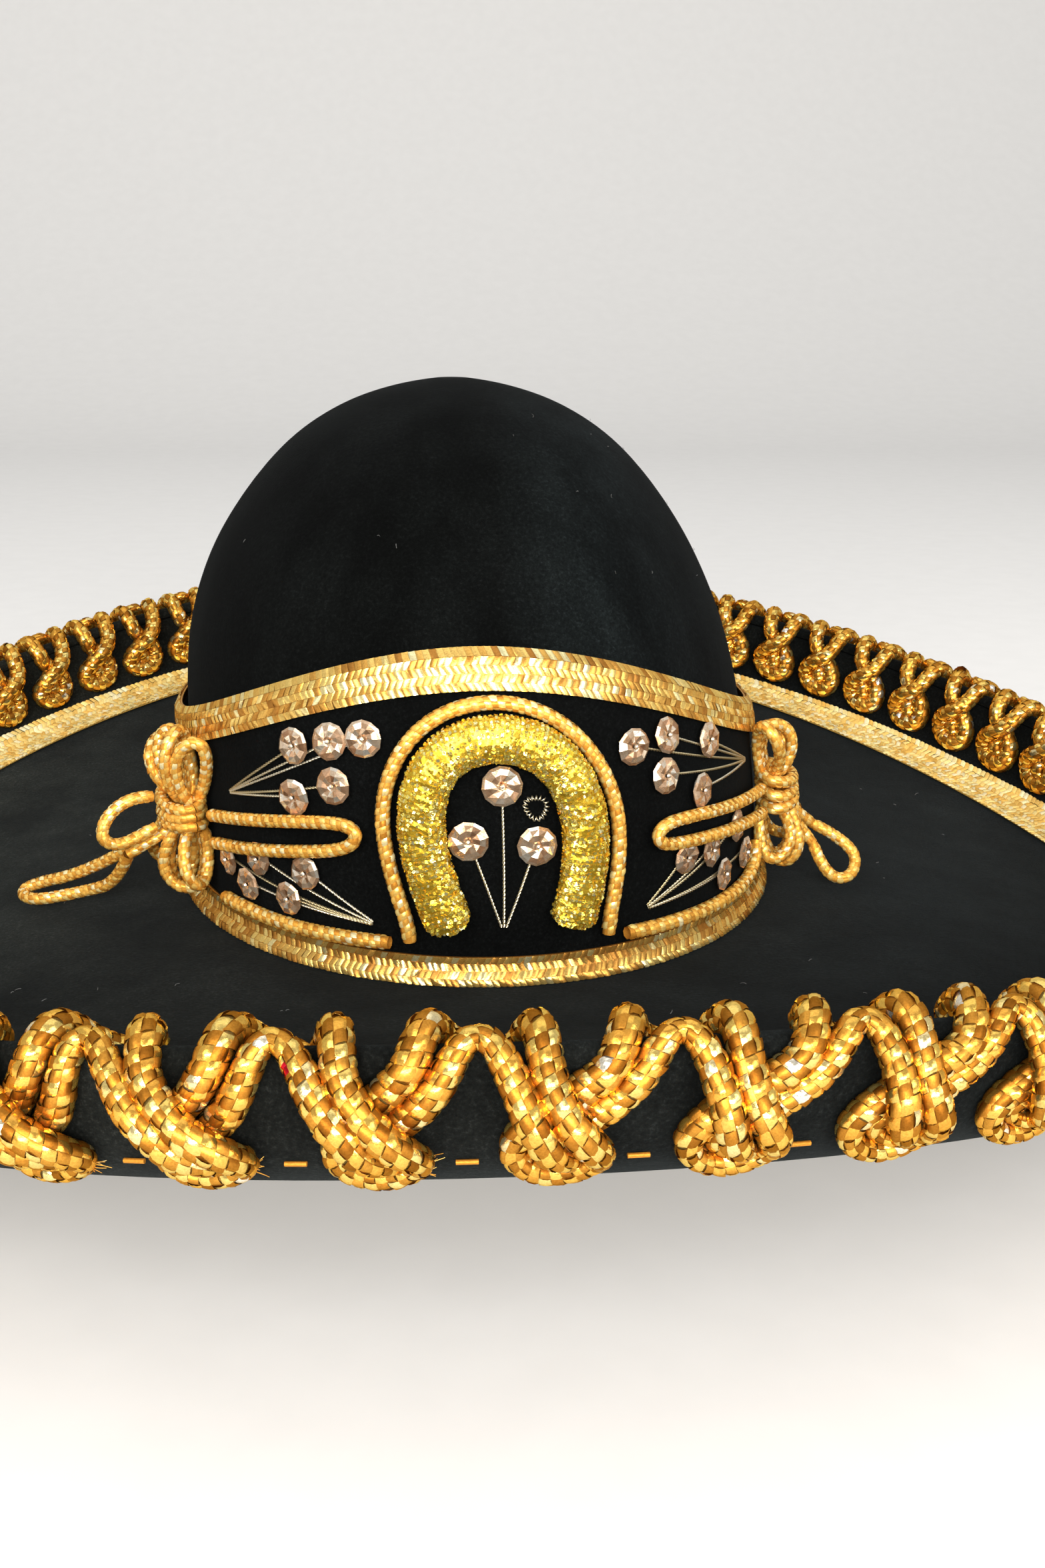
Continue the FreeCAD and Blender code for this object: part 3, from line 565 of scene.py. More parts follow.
# ------------------------------------------------------------------ materials
def material(name):
    mat = bpy.data.materials.new(name)
    mat.use_nodes = True
    nodes = mat.node_tree.nodes
    return mat, nodes, mat.node_tree.links, nodes["Principled BSDF"]


def rgba(r, g, b):
    return (r, g, b, 1.0)


def put(node, **values):
    # Constants of a node's sockets
    for name, value in values.items():
        node.inputs[name.replace("_", " ")].default_value = value


def ramp(nodes, stops):
    node = nodes.new("ShaderNodeValToRGB")
    elements = node.color_ramp.elements
    while len(elements) > 1:
        elements.remove(elements[-1])
    elements[0].position = stops[0][0]
    elements[0].color = rgba(*stops[0][1])
    for position, colour in stops[1:]:
        elements.new(position).color = rgba(*colour)
    return node


def object_coords(nodes, links, scale):
    tex = nodes.new("ShaderNodeTexCoord")
    mapping = nodes.new("ShaderNodeMapping")
    put(mapping, Scale=(scale, scale, scale))
    links.new(tex.outputs["Object"], mapping.inputs["Vector"])
    return mapping.outputs["Vector"]


def noise(nodes, links, coords, scale, detail=2.0, rough=0.5):
    node = nodes.new("ShaderNodeTexNoise")
    put(node, Scale=scale, Detail=detail, Roughness=rough)
    links.new(coords, node.inputs["Vector"])
    return node


def mix(nodes, links, kind, factor, a, b):
    node = nodes.new("ShaderNodeMix")
    node.data_type = "RGBA"
    node.blend_type = kind
    put(node, Factor=factor)
    links.new(a, node.inputs["A"])
    links.new(b, node.inputs["B"])
    return node.outputs["Result"]


def bump(nodes, links, shader, height, strength, distance):
    node = nodes.new("ShaderNodeBump")
    put(node, Strength=strength, Distance=distance)
    links.new(height, node.inputs["Height"])
    links.new(node.outputs["Normal"], shader.inputs["Normal"])


def lame_material(name, colours, rough, metal=0.9, fibre_scale=2.2):
    # Metallic strips: dull brown where the back of a strip shows, bright where its face does
    mat, nodes, links, shader = material(name)
    tone = nodes.new("ShaderNodeAttribute")
    tone.attribute_name = "tone"
    half = nodes.new("ShaderNodeMath")
    half.operation = "MULTIPLY"
    half.inputs[1].default_value = 0.5
    links.new(tone.outputs["Fac"], half.inputs[0])
    colour = ramp(nodes, [(0.5 * place, paint) for place, paint in colours] + [(0.5 * RED_TONE, RED_STRIP)])
    links.new(half.outputs["Value"], colour.inputs["Fac"])
    coords = object_coords(nodes, links, 1000.0)
    fibre = noise(nodes, links, coords, fibre_scale, 3.0, 0.7)
    dim = ramp(nodes, [(0.30, (0.66, 0.60, 0.50)), (0.60, (1, 1, 1))])
    links.new(fibre.outputs["Fac"], dim.inputs["Fac"])
    mixed = mix(nodes, links, "MULTIPLY", 0.8, colour.outputs["Color"], dim.outputs["Color"])
    links.new(mixed, shader.inputs["Base Color"])
    gloss = ramp(nodes, rough)
    links.new(tone.outputs["Fac"], gloss.inputs["Fac"])
    links.new(gloss.outputs["Color"], shader.inputs["Roughness"])
    put(shader, Metallic=metal, Specular_IOR_Level=0.15, Specular_Tint=(1.0, 0.80, 0.42, 1.0))
    bump(nodes, links, shader, fibre.outputs["Fac"], 0.22, 0.0002)
    return mat


def grey(level):
    return (level, level, level)


def velvet_material(name, base, sheen, streaks, patches, painted_light):
    # Short pile, brushed here and there so that it takes the light in soft streaks
    mat, nodes, links, shader = material(name)
    coords = object_coords(nodes, links, 1000.0)
    pile = noise(nodes, links, coords, 1.1, 5.0, 0.8)
    patch = noise(nodes, links, coords, 0.03, 4.0, 0.65)
    tex = nodes.new("ShaderNodeTexCoord")
    stretch = nodes.new("ShaderNodeMapping")
    put(stretch, Scale=(46.0, 46.0, 7.0))
    links.new(tex.outputs["Object"], stretch.inputs["Vector"])
    streak = noise(nodes, links, stretch.outputs["Vector"], 1.0, 3.0, 0.55)
    tint = ramp(nodes, [(0.30, (base * 0.25, base * 0.30, base * 0.32)),
                        (0.55, (base * 0.85, base, base * 1.00)),
                        (0.80, (base * 3.2, base * 3.6, base * 3.8))])
    links.new(pile.outputs["Fac"], tint.inputs["Fac"])
    brushed = ramp(nodes, [(0.35, grey(1 - 0.6 * patches)), (0.66, grey(1 + 0.5 * patches))])
    links.new(patch.outputs["Fac"], brushed.inputs["Fac"])
    rows = ramp(nodes, [(0.38, grey(1 - 0.35 * streaks)), (0.66, grey(1 + 0.6 * streaks))])
    links.new(streak.outputs["Fac"], rows.inputs["Fac"])
    # Painted light from side to side: the colour is multiplied by a ramp read along the hat's X. It
    # lightens the brim's left as painted sheen, and darkens the crown's left with a painted highlight
    # stripe right of its front
    split = nodes.new("ShaderNodeSeparateXYZ")
    links.new(tex.outputs["Object"], split.inputs["Vector"])
    across = nodes.new("ShaderNodeMapRange")
    put(across, From_Min=-0.27, From_Max=0.27)
    links.new(split.outputs["X"], across.inputs["Value"])
    lay = ramp(nodes, painted_light)
    links.new(across.outputs["Result"], lay.inputs["Fac"])
    first = mix(nodes, links, "MULTIPLY", 1.0, tint.outputs["Color"], brushed.outputs["Color"])
    second = mix(nodes, links, "MULTIPLY", 1.0, first, rows.outputs["Color"])
    last = mix(nodes, links, "MULTIPLY", 1.0, second, lay.outputs["Color"])
    links.new(last, shader.inputs["Base Color"])
    put(shader, Roughness=0.95, Specular_IOR_Level=0.05, Sheen_Weight=sheen,
        Sheen_Roughness=0.40, Sheen_Tint=(0.60, 0.74, 0.80, 1.0))
    bump(nodes, links, shader, pile.outputs["Fac"], 0.6, 0.0005)
    return mat


def leather_material():
    mat, nodes, links, shader = material("sweatband_leather")
    coords = object_coords(nodes, links, 1000.0)
    grain = nodes.new("ShaderNodeTexVoronoi")
    put(grain, Scale=0.9)
    links.new(coords, grain.inputs["Vector"])
    wear = noise(nodes, links, coords, 0.05, 3.0)
    tint = ramp(nodes, [(0.3, (0.010, 0.009, 0.008)), (0.7, (0.028, 0.024, 0.020))])
    links.new(wear.outputs["Fac"], tint.inputs["Fac"])
    links.new(tint.outputs["Color"], shader.inputs["Base Color"])
    put(shader, Roughness=0.46)
    bump(nodes, links, shader, grain.outputs["Distance"], 0.3, 0.0003)
    return mat


RED_STRIP = (0.62, 0.012, 0.030)
# Gold of the lamé strips; the top of the ramp, from 0.985 to near white, is a painted highlight on a few
# random strips
GOLD_AND_HIGHLIGHT_STOPS = [
    (0.00, (0.3, 0.11, 0.012)), (0.22, (0.52, 0.22, 0.028)), (0.46, (0.74, 0.36, 0.055)),
    (0.52, (0.95, 0.48, 0.075)), (0.74, (1.00, 0.64, 0.13)), (0.93, (1.00, 0.78, 0.26)),
    (0.985, (1.00, 0.84, 0.46)), (1.00, (1.00, 0.96, 0.88)),
]
GOLD_ROUGH = [
    (0.0, (0.48, 0.48, 0.48)), (0.45, (0.38, 0.38, 0.38)), (0.55, (0.17, 0.17, 0.17)),
    (1.0, (0.09, 0.09, 0.09)),
]
ORANGE_STOPS = [
    (0.0, (0.62, 0.26, 0.035)), (0.3, (0.88, 0.44, 0.07)), (0.6, (1.00, 0.6, 0.13)),
    (0.85, (1.00, 0.76, 0.25)), (1.0, (1.00, 0.92, 0.56)),
]
BRAID_STOPS = [
    (0.0, (0.5, 0.22, 0.045)), (0.25, (0.76, 0.4, 0.085)), (0.6, (0.92, 0.58, 0.15)),
    (0.85, (1.00, 0.74, 0.24)), (1.0, (1.00, 0.92, 0.52)),
]
# Pale gold of the brim's ring braid; its palest tones are partly the braid's own pale gold and partly
# painted highlights on random strips
PALE_GOLD_AND_HIGHLIGHT_STOPS = [
    (0.0, (0.8, 0.5, 0.12)), (0.3, (1.00, 0.74, 0.24)), (0.7, (1.00, 0.88, 0.4)),
    (1.0, (1.00, 0.97, 0.66)),
]
PAD_STOPS = [
    (0.0, (0.52, 0.33, 0.02)), (0.3, (0.94, 0.64, 0.06)), (0.6, (1.00, 0.82, 0.13)),
    (0.85, (1.00, 0.92, 0.3)), (1.0, (1.00, 0.98, 0.62)),
]
THREAD_STOPS = [
    (0.0, (0.44, 0.36, 0.20)), (0.5, (0.70, 0.62, 0.40)), (1.0, (0.95, 0.92, 0.78)),
]
SEQUIN_STOPS = [
    (0.0, (0.42, 0.22, 0.12)), (0.35, (0.7, 0.44, 0.27)), (0.7, (0.92, 0.7, 0.5)),
    (1.0, (1.00, 0.94, 0.82)),
]
LINT_STOPS = [(0.0, (0.05, 0.05, 0.05)), (1.0, (0.26, 0.27, 0.28))]
SHINY = [(0.0, (0.30, 0.30, 0.30)), (1.0, (0.12, 0.12, 0.12))]
SATIN = [(0.0, (0.42, 0.42, 0.42)), (1.0, (0.20, 0.20, 0.20))]

LAME = lame_material("braided_gold_lame", GOLD_AND_HIGHLIGHT_STOPS, GOLD_ROUGH)
KNOT_GOLD = lame_material("knot_cord_gold", ORANGE_STOPS, SATIN, 0.45)
BRAID_GOLD = lame_material("woven_braid_gold", BRAID_STOPS, SHINY, 0.8)
PALE_GOLD = lame_material("pale_braid_gold", PALE_GOLD_AND_HIGHLIGHT_STOPS, SHINY, 0.3)
PAD_GOLD = lame_material("glitter_gold", PAD_STOPS, SHINY, 0.8)
THREAD = lame_material("metallic_thread", THREAD_STOPS, SATIN, 0.9, 6.0)
SEQUIN = lame_material("champagne_sequin", SEQUIN_STOPS, SHINY, 0.8, 0.8)
# Painted light ramps, read from the hat's left (0) to its right (1). The brim is painted lighter and warmer
# toward its left as sheen. The crown is painted darker on its left half, has a bright bluish painted
# highlight stripe about 30 mm right of its front, and is a little lighter further right. The band gets none
BRIM_PAINTED_SHEEN = [
    (0.0, (2.6, 2.4, 2.0)), (0.30, (1.5, 1.42, 1.25)), (0.55, (0.92, 0.94, 0.92)),
    (0.75, (0.65, 0.68, 0.68)), (1.0, (0.8, 0.8, 0.8)),
]
CROWN_PAINTED_LIGHT = [
    (0.32, (0.60, 0.62, 0.58)), (0.50, (0.60, 0.62, 0.60)), (0.555, (1.5, 1.7, 1.75)),
    (0.61, (0.80, 0.85, 0.85)), (0.66, (1.10, 1.15, 1.15)),
]
NO_PAINTED_LIGHT = [(0.0, (1.0, 1.0, 1.0)), (1.0, (1.0, 1.0, 1.0))]
# The brim and crown are one velvet: the brim's lighter base is painted sheen and the crown's darker base is
# painted shade
PAINTED_SHEEN_VELVET = velvet_material("brim_velvet_painted_sheen", 0.0078, 0.034, 0.3, 0.8, BRIM_PAINTED_SHEEN)
PAINTED_LIGHT_CROWN_VELVET = velvet_material("crown_velvet_painted_light", 0.0040, 0.007, 1.0, 0.3, CROWN_PAINTED_LIGHT)
BAND_VELVET = velvet_material("band_velvet", 0.0030, 0.010, 0.3, 0.5, NO_PAINTED_LIGHT)
LEATHER = leather_material()
LINT = lame_material("lint_fibre", LINT_STOPS, SATIN, 0.0)


def dress(node, mat):
    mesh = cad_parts[node].data
    if not mesh.materials:
        mesh.materials.append(mat)
    for k in range(len(mesh.materials)):
        mesh.materials[k] = mat


for node in ("brim_under_cover", "brim_top_cover", "brim_core"):
    dress(node, PAINTED_SHEEN_VELVET)
dress("crown_shell", PAINTED_LIGHT_CROWN_VELVET)
dress("hat_band", BAND_VELVET)
dress("sweatband", LEATHER)
dress("edge_stitches", KNOT_GOLD)
for node in ("band_top_braid", "band_foot_braid"):
    dress(node, BRAID_GOLD)
dress("brim_braid_ring", PALE_GOLD)


# ------------------------------------------------------------------ free loops of cord
def soft_cord(name, corners, body, seed):
    # The loop's centre line is one smooth spline; the braided cord follows points read
    # from it
    data = bpy.data.curves.new(name + "_line", "CURVE")
    data.dimensions = "3D"
    data.resolution_u = 12
    spline = data.splines.new("NURBS")
    spline.points.add(len(corners) - 1)
    for point, (x, y, h) in zip(spline.points, corners):
        point.co = (x * MM, y * MM, (h + JUNCTION_Z) * MM, 1.0)
    spline.order_u = 3
    spline.use_endpoint_u = True
    line = bpy.data.objects.new(name + "_line", data)
    bpy.context.scene.collection.objects.link(line)
    bpy.context.view_layer.update()
    read = bpy.data.meshes.new_from_object(line)
    path = [np.array(v.co) / MM for v in read.vertices]
    bpy.data.objects.remove(line)
    bpy.data.meshes.remove(read)
    pile = Pile()
    rng = np.random.default_rng(seed)
    plait(pile, None, [KNOT_R] * len(path), rng, 7, 1.7, even=path)
    cord = pile.build(name, KNOT_GOLD, True, body, (name.replace("_cord", ""),))
    length = sum(float(np.linalg.norm(b - a)) for a, b in zip(path, path[1:]))
    return path


left_path = soft_cord("left_free_loop_cord", LEFT_FREE_LOOP, "left_loop", 61)
right_path = soft_cord("right_free_loop_cord", RIGHT_FREE_LOOP, "right_loop", 62)

# ------------------------------------------------------------------ lacing of the lip
def lacing():
    # Each section is two runs of cord, as in CAD, with the filler of every inner loop
    first = FIRST_UNIT
    for k, count in enumerate(SECTION_UNITS):
        rng = np.random.default_rng(40 + k)
        pile = Pile()
        for path in (INNER_PATH, OUTER_PATH):
            points = []
            radii = []
            for unit in range(first, first + count):
                p, r = lace_points(path, unit)
                points += p
                radii += r
            p, r = lace_points(path, first + count)
            plait(pile, points + p[:2], radii + r[:2], rng)
        for unit in range(first, first + count):
            p, r = lace_points(LOOP_FILL, unit)
            plait(pile, p, r, rng)
        if k == 0:
            pile.fleck(RED_SPOT, RED_REACH)
        number = str(k + 1)
        pile.build("lace_" + number, LAME, replaces=("rim_cord_" + number,))
        first += count


lacing()


# ------------------------------------------------------------------ braids
def top_braid_place(length):
    def place(s, v, lift):
        psi = TURN * s / length
        h = band_top(psi) + v * (BRAID_WIDE / 2.0 + 0.2)
        off = BAND_OUT + 0.2 + BRAID_THICK - 1.1 * ease((0.5 + 0.5 * v - 0.8) / 0.2)
        return crown_at(psi, h, off + 0.12 + lift)
    return place


def foot_braid_place(length):
    def place(s, v, lift):
        psi = TURN * s / length
        f = 0.5 + 0.5 * v
        off = BAND_OUT + 0.2 + 2.6 * ease((0.75 - f) / 0.75) + BRAID_THICK
        return crown_at(psi, 0.5 + 7.4 * f, off + 0.12 + lift)
    return place


def ring_braid_place(length):
    low, high = RING_BRAID

    def place(s, v, lift):
        psi = TURN * s / length
        r = low - 1.0 + (high - low + 3.4) * (0.5 + 0.5 * v)
        z = 0.4 if r <= BRIM_FLAT_R else blend(r, LIP_PROFILE)
        return brim_place(psi, r, z + 0.3 + BRAID_THICK + 0.14 + lift)
    return place


def braids():
    for name, maker, length, columns, cell, gold in (
            ("top_braid_weave", top_braid_place, 545.0, 5, 1.9, BRAID_GOLD),
            ("foot_braid_weave", foot_braid_place, 615.0, 4, 1.9, BRAID_GOLD),
            ("brim_braid_weave", ring_braid_place, 1439.0, 8, 2.1, PALE_GOLD)):
        pile = Pile()
        tape(pile, maker(length), length, columns, cell, np.random.default_rng(len(name)))
        pile.build(name, gold)


braids()


# ------------------------------------------------------------------ cords of the band
def band_run(pairs, off):
    return [on_band(s, h, off) for s, h in pairs]


def shoe_run(half):
    left = [(SHOE_MIDDLE - s, h) for s, h in reversed(half[1:])]
    return left + [(SHOE_MIDDLE + s, h) for s, h in half]


def foot_run(side):
    start = side * FOOT_CORD_START + SHOE_MIDDLE
    end = side * (KNOT_MIDDLE[side] - KNOT_CLEAR)
    return [(start + (end - start) * share, h) for share, h in FOOT_CORD + FOOT_CORD_END[side]]


def trim_cords():
    off = BAND_OUT + 0.5 + TRIM_R
    for name, node, run, seed in (
            ("horseshoe_cord_braid", "horseshoe_cord", shoe_run(SHOE_CORD), 11),
            ("foot_cord_left_braid", "band_foot_cord_left", foot_run(-1), 12),
            ("foot_cord_right_braid", "band_foot_cord_right", foot_run(1), 13)):
        points = band_run(run, off)
        pile = Pile()
        plait(pile, points, [TRIM_R] * len(points), np.random.default_rng(seed), 7, 1.75)
        pile.build(name, KNOT_GOLD, replaces=(node,))
    for name, node, run, seed in (
            ("front_loop_left_braid", "left_front_loop", LEFT_FRONT_LOOP, 14),
            ("front_loop_right_braid", "right_front_loop", RIGHT_FRONT_LOOP, 15)):
        points = band_run(run, FRONT_LOOP_LIFT)
        pile = Pile()
        plait(pile, points, [KNOT_R] * len(points), np.random.default_rng(seed), 7, 1.6)
        pile.build(name, KNOT_GOLD, replaces=(node,))


trim_cords()


# ------------------------------------------------------------------ side knots
def knot_loop(s, root, tip, near, far, fan, open_wide):
    # A loop that leaves the waist at the root, spreads sideways by fan toward its tip and
    # opens toward the viewer
    turn = [
        (0.00, 0.10, 0.0), (0.30, 0.00, -0.6), (0.66, 0.05, -1.0), (0.92, 0.22, -0.8),
        (1.03, 0.52, 0.0), (0.92, 0.84, 0.8), (0.66, 1.04, 1.0), (0.30, 0.92, 0.6),
        (0.00, 0.62, 0.0), (-0.08, 0.36, 0.0),
    ]
    return [on_band(s + fan * max(f, 0.0) + open_wide * o, root + (tip - root) * f,
                    near + (far - near) * g) for f, g, o in turn]


def side_knot(side, name):
    near = BAND_OUT + 0.35 + KNOT_R
    pile = Pile()
    rng = np.random.default_rng(20 + side)
    middle = side * KNOT_MIDDLE[side]
    loops = []
    # A bunch of open loops above the waist and another below it
    for k, (rise, drop) in enumerate(KNOT_LOOPS[side]):
        place = k - 1.5
        s = middle + side * KNOT_SPACING * 0.72 * place
        far = near + 8.6 + 2.4 * (k % 2)
        open_wide = 2.5 if k % 2 else -2.1
        loops.append(knot_loop(s, KNOT_HEIGHT + 4.6, KNOT_HEIGHT + 6.6 + rise, near + 0.8, far,
                               side * (place * 4.4 - 0.6), open_wide * 1.2))
        loops.append(knot_loop(s + side * 1.0, KNOT_HEIGHT - 4.6, KNOT_HEIGHT - 6.8 - drop,
                               near, far + 1.0, side * (place * 3.4 + 2.2), -open_wide))
    # Three turns round the waist
    reach = KNOT_SPACING * 1.5 + 1.6
    for k, h in enumerate((-3.6, 0.0, 3.5)):
        wrap = []
        for i in range(14):
            a = TURN * i / 14
            height = KNOT_HEIGHT + h + 1.3 * math.cos(a + k)
            wrap.append(on_band(middle + reach * math.cos(a), height,
                                near + 5.4 + 5.2 * math.sin(a)))
        loops.append(wrap)
    for points in loops:
        plait(pile, points, [KNOT_R] * len(points), rng, 7, 1.7, closed=True)
    # The free loop's two strands come out of the waist
    path = left_path if side < 0 else right_path
    for end in (path[0], path[-1]):
        root = on_band(middle, KNOT_HEIGHT - 3.0, near + 4.0)
        half = (root + end) / 2.0
        plait(pile, [root, half, half * 0.2 + end * 0.8, end], [KNOT_R] * 4, rng, 7, 1.7)
    pile.build(name + "_knot_cords", KNOT_GOLD, replaces=(name + "_knot",))


side_knot(-1, "left")
side_knot(1, "right")


def left_side_loop():
    # (distance out of the knot, height from its middle)
    s = -(KNOT_MIDDLE[-1] + 1.0)
    near = BAND_OUT + 0.35 + KNOT_R + 13.2
    turn = [
        (0.0, 4.6), (5.0, 5.0), (10.0, 3.6), (14.0, 0.4), (16.4, -3.8), (15.2, -7.4),
        (11.0, -8.6), (6.4, -7.2), (0.0, -4.6),
    ]
    points = [on_band(s, KNOT_HEIGHT + h, near + off) for off, h in turn]
    pile = Pile()
    plait(pile, points, [KNOT_R] * len(points), np.random.default_rng(25), 7, 1.7)
    pile.build("side_loop_braid", KNOT_GOLD, replaces=("left_side_loop",))


left_side_loop()


# ------------------------------------------------------------------ horseshoe pad
def horseshoe_pad():
    rng = np.random.default_rng(31)
    off = BAND_OUT + 0.3 + PAD_HALF_DEEP
    run = shoe_run(SHOE_PAD)
    points = band_run(run, off)
    outs = [band_out(s, h) for s, h in run]
    even, share, at = smooth_run(points, np.arange(len(points)), 1.1)
    n = len(even)
    outs = np.array(outs)
    lo = np.clip(share.astype(int), 0, len(outs) - 2)
    out = outs[lo] + (outs[lo + 1] - outs[lo]) * (share - lo)[:, None]
    tangent = np.gradient(even, axis=0)
    tangent /= np.linalg.norm(tangent, axis=1)[:, None]
    up = out - tangent * (out * tangent).sum(1)[:, None]
    up /= np.linalg.norm(up, axis=1)[:, None]
    across = np.cross(tangent, up)
    spokes = 22
    a = TURN * np.arange(spokes) / spokes
    # Rounded feet, and the cloth pulled in a little at every stitch along the pad
    ends = np.minimum(at, at[-1] - at)
    swell = np.clip(ends / 3.2, 0.02, 1.0) ** 0.4
    pull = 1.0 - 0.035 * np.abs(np.sin(at * math.pi / 7.5)) ** 6
    wide = (PAD_HALF_WIDE * swell * pull)[:, None]
    deep = (PAD_HALF_DEEP * swell * pull)[:, None]
    cos = np.sign(np.cos(a)) * np.abs(np.cos(a)) ** 0.85
    sin = np.sign(np.sin(a)) * np.abs(np.sin(a)) ** 0.85
    verts = (even[:, None, :] + across[:, None, :] * (wide * cos)[..., None]
             + up[:, None, :] * (deep * sin)[..., None])
    verts += rng.normal(0.0, 0.09, verts.shape)
    pile = Pile()
    tones = 0.10 + 0.25 * rng.random((n - 1) * spokes)
    pile.add(verts, grid_faces(n, spokes, True), tones)
    # Flakes of glitter, each turned its own way
    flakes = 5200
    i = rng.integers(0, n - 1, flakes)
    angle = rng.uniform(-0.25, math.pi + 0.25, flakes)
    c = np.sign(np.cos(angle)) * np.abs(np.cos(angle)) ** 0.85
    d = np.sign(np.sin(angle)) * np.abs(np.sin(angle)) ** 0.85
    place = even[i] + across[i] * (wide[i, 0] * c)[:, None] + up[i] * (deep[i, 0] * d)[:, None]
    normal = across[i] * (c / PAD_HALF_WIDE)[:, None] + up[i] * (d / PAD_HALF_DEEP)[:, None]
    normal /= np.linalg.norm(normal, axis=1)[:, None]
    normal += rng.normal(0.0, 0.33, normal.shape)
    normal /= np.linalg.norm(normal, axis=1)[:, None]
    e1 = np.cross(normal, rng.normal(size=normal.shape))
    e1 /= np.linalg.norm(e1, axis=1)[:, None]
    e2 = np.cross(normal, e1)
    size = rng.uniform(0.42, 0.74, flakes)[:, None]
    place = place + normal * 0.22
    quad = np.stack([place - e1 * size, place - e2 * size * 0.8,
                     place + e1 * size, place + e2 * size * 0.8], 1)
    faces = np.arange(flakes * 4).reshape(-1, 4)
    pile.add(quad, faces, 0.25 + 0.75 * rng.random(flakes))
    pad = pile.build("horseshoe_pad_cloth", PAD_GOLD, False,
                     replaces=("horseshoe_pad",))


horseshoe_pad()


# ------------------------------------------------------------------ sprays
def sequin(pile, s, h, radius, rng):
    # A cupped clear disc, cut in facets round a small hole
    base = on_band(s, h, SEQUIN_LIFT)
    out = band_out(s, h)
    side = np.cross(out, (0.0, 0.0, 1.0))
    side /= np.linalg.norm(side)
    up = np.cross(side, out)
    facets = 12
    spin = rng.uniform(0.0, 1.0)
    lean_a, lean_b = rng.normal(0.0, 0.05, 2)
    rings = [(0.10, 0.55), (0.26, 0.95), (0.58, 1.15), (0.86, 0.85), (1.0, 0.35), (0.96, 0.0),
             (0.3, 0.0)]
    verts = []
    for share, lift in rings:
        for k in range(facets):
            a = TURN * (k + spin) / facets
            r = radius * share
            wave = 0.22 * (1 if k % 2 else -1) if share > 0.5 and lift > 0.2 else 0.0
            tip = lean_a * math.cos(a) * r + lean_b * math.sin(a) * r
            verts.append(base + side * r * math.cos(a) + up * r * math.sin(a)
                         + out * (lift + wave + tip))
    faces = grid_faces(len(rings), facets, True)
    pile.add(verts, faces, np.clip(rng.normal(0.55, 0.28, len(faces)), 0.0, 1.0))
    # The bead that holds it
    bead = []
    for j in range(5):
        b = math.pi * j / 4.0
        for k in range(8):
            a = TURN * k / 8.0
            r = 0.72 * max(math.sin(b), 0.05)
            bead.append(base + side * r * math.cos(a) + up * r * math.sin(a)
                        + out * (1.35 + 0.6 * math.cos(b)))
    pile.add(bead, grid_faces(5, 8, True), 0.95)


def sprays():
    for name, (radius, foot, places) in SPRAYS.items():
        rng = np.random.default_rng(len(name) * 7)
        discs = Pile()
        threads = Pile()
        for s, h in places:
            sequin(discs, s, h, radius, rng)
            first = 2.0 / math.hypot(s - foot[0], h - foot[1])
            pairs = []
            for f in np.linspace(first, 1.0, 5):
                pairs.append((foot[0] + (s - foot[0]) * f, foot[1] + (h - foot[1]) * f))
            even, rad, at = smooth_run(band_run(pairs, BAND_OUT + 0.9), [0.4] * 5, 0.45)
            twist(threads, even, 0.42, rng.uniform(0.3, 1.0))
        discs.build("sequins_" + name + "_cut", SEQUIN, False,
                    replaces=("sequins_" + name,))
        threads.build("stems_" + name + "_twist", THREAD,
                      replaces=("stems_" + name,))


sprays()


def curled_purl():
    # A scrap of coiled wire sewn down in a ring
    coil = []
    turns = 17
    steps = turns * 12
    for k in range(steps):
        a = TURN * k / steps
        b = TURN * k / 12.0
        r = 2.9 + 0.62 * math.cos(b) + 0.25 * math.sin(3.0 * a)
        lift = BAND_OUT + 1.0 + 0.55 * math.sin(b)
        coil.append(on_band(11.3 + r * math.cos(a), 49.4 + r * math.sin(a), lift))
    coil.append(coil[0])
    pile = Pile()
    even = np.array(coil)
    rod(pile, even, np.full(len(even), 0.2), 0.85, 5)
    pile.build("curled_purl", THREAD, replaces=("curled_thread",))


curled_purl()


# ------------------------------------------------------------------ small real-life touches
def thread_tails():
    # Frayed ends of metallic thread at the foot of some front loops
    pile = Pile()
    rng = np.random.default_rng(52)
    for unit in (-3, -2, -1, 3, 7):
        psi = lace_angle(unit)
        start = lip_at(psi + TAIL_PLACE / LACE_R, TAIL_DROP, 3.0)
        for k in range(7):
            reach = rng.uniform(2.6, 5.2)
            end = lip_at(psi + (TAIL_PLACE + reach) / LACE_R, TAIL_DROP - rng.uniform(-0.8, 2.6),
                         rng.uniform(1.2, 5.0))
            mid = (start + end) / 2.0 + rng.normal(0.0, 0.35, 3)
            even, rad, at = smooth_run([start, mid, end], [0.16, 0.12, 0.05], 0.5)
            rod(pile, even, rad, rng.uniform(0.2, 1.0), 4)
    pile.build("thread_tails", KNOT_GOLD)


thread_tails()


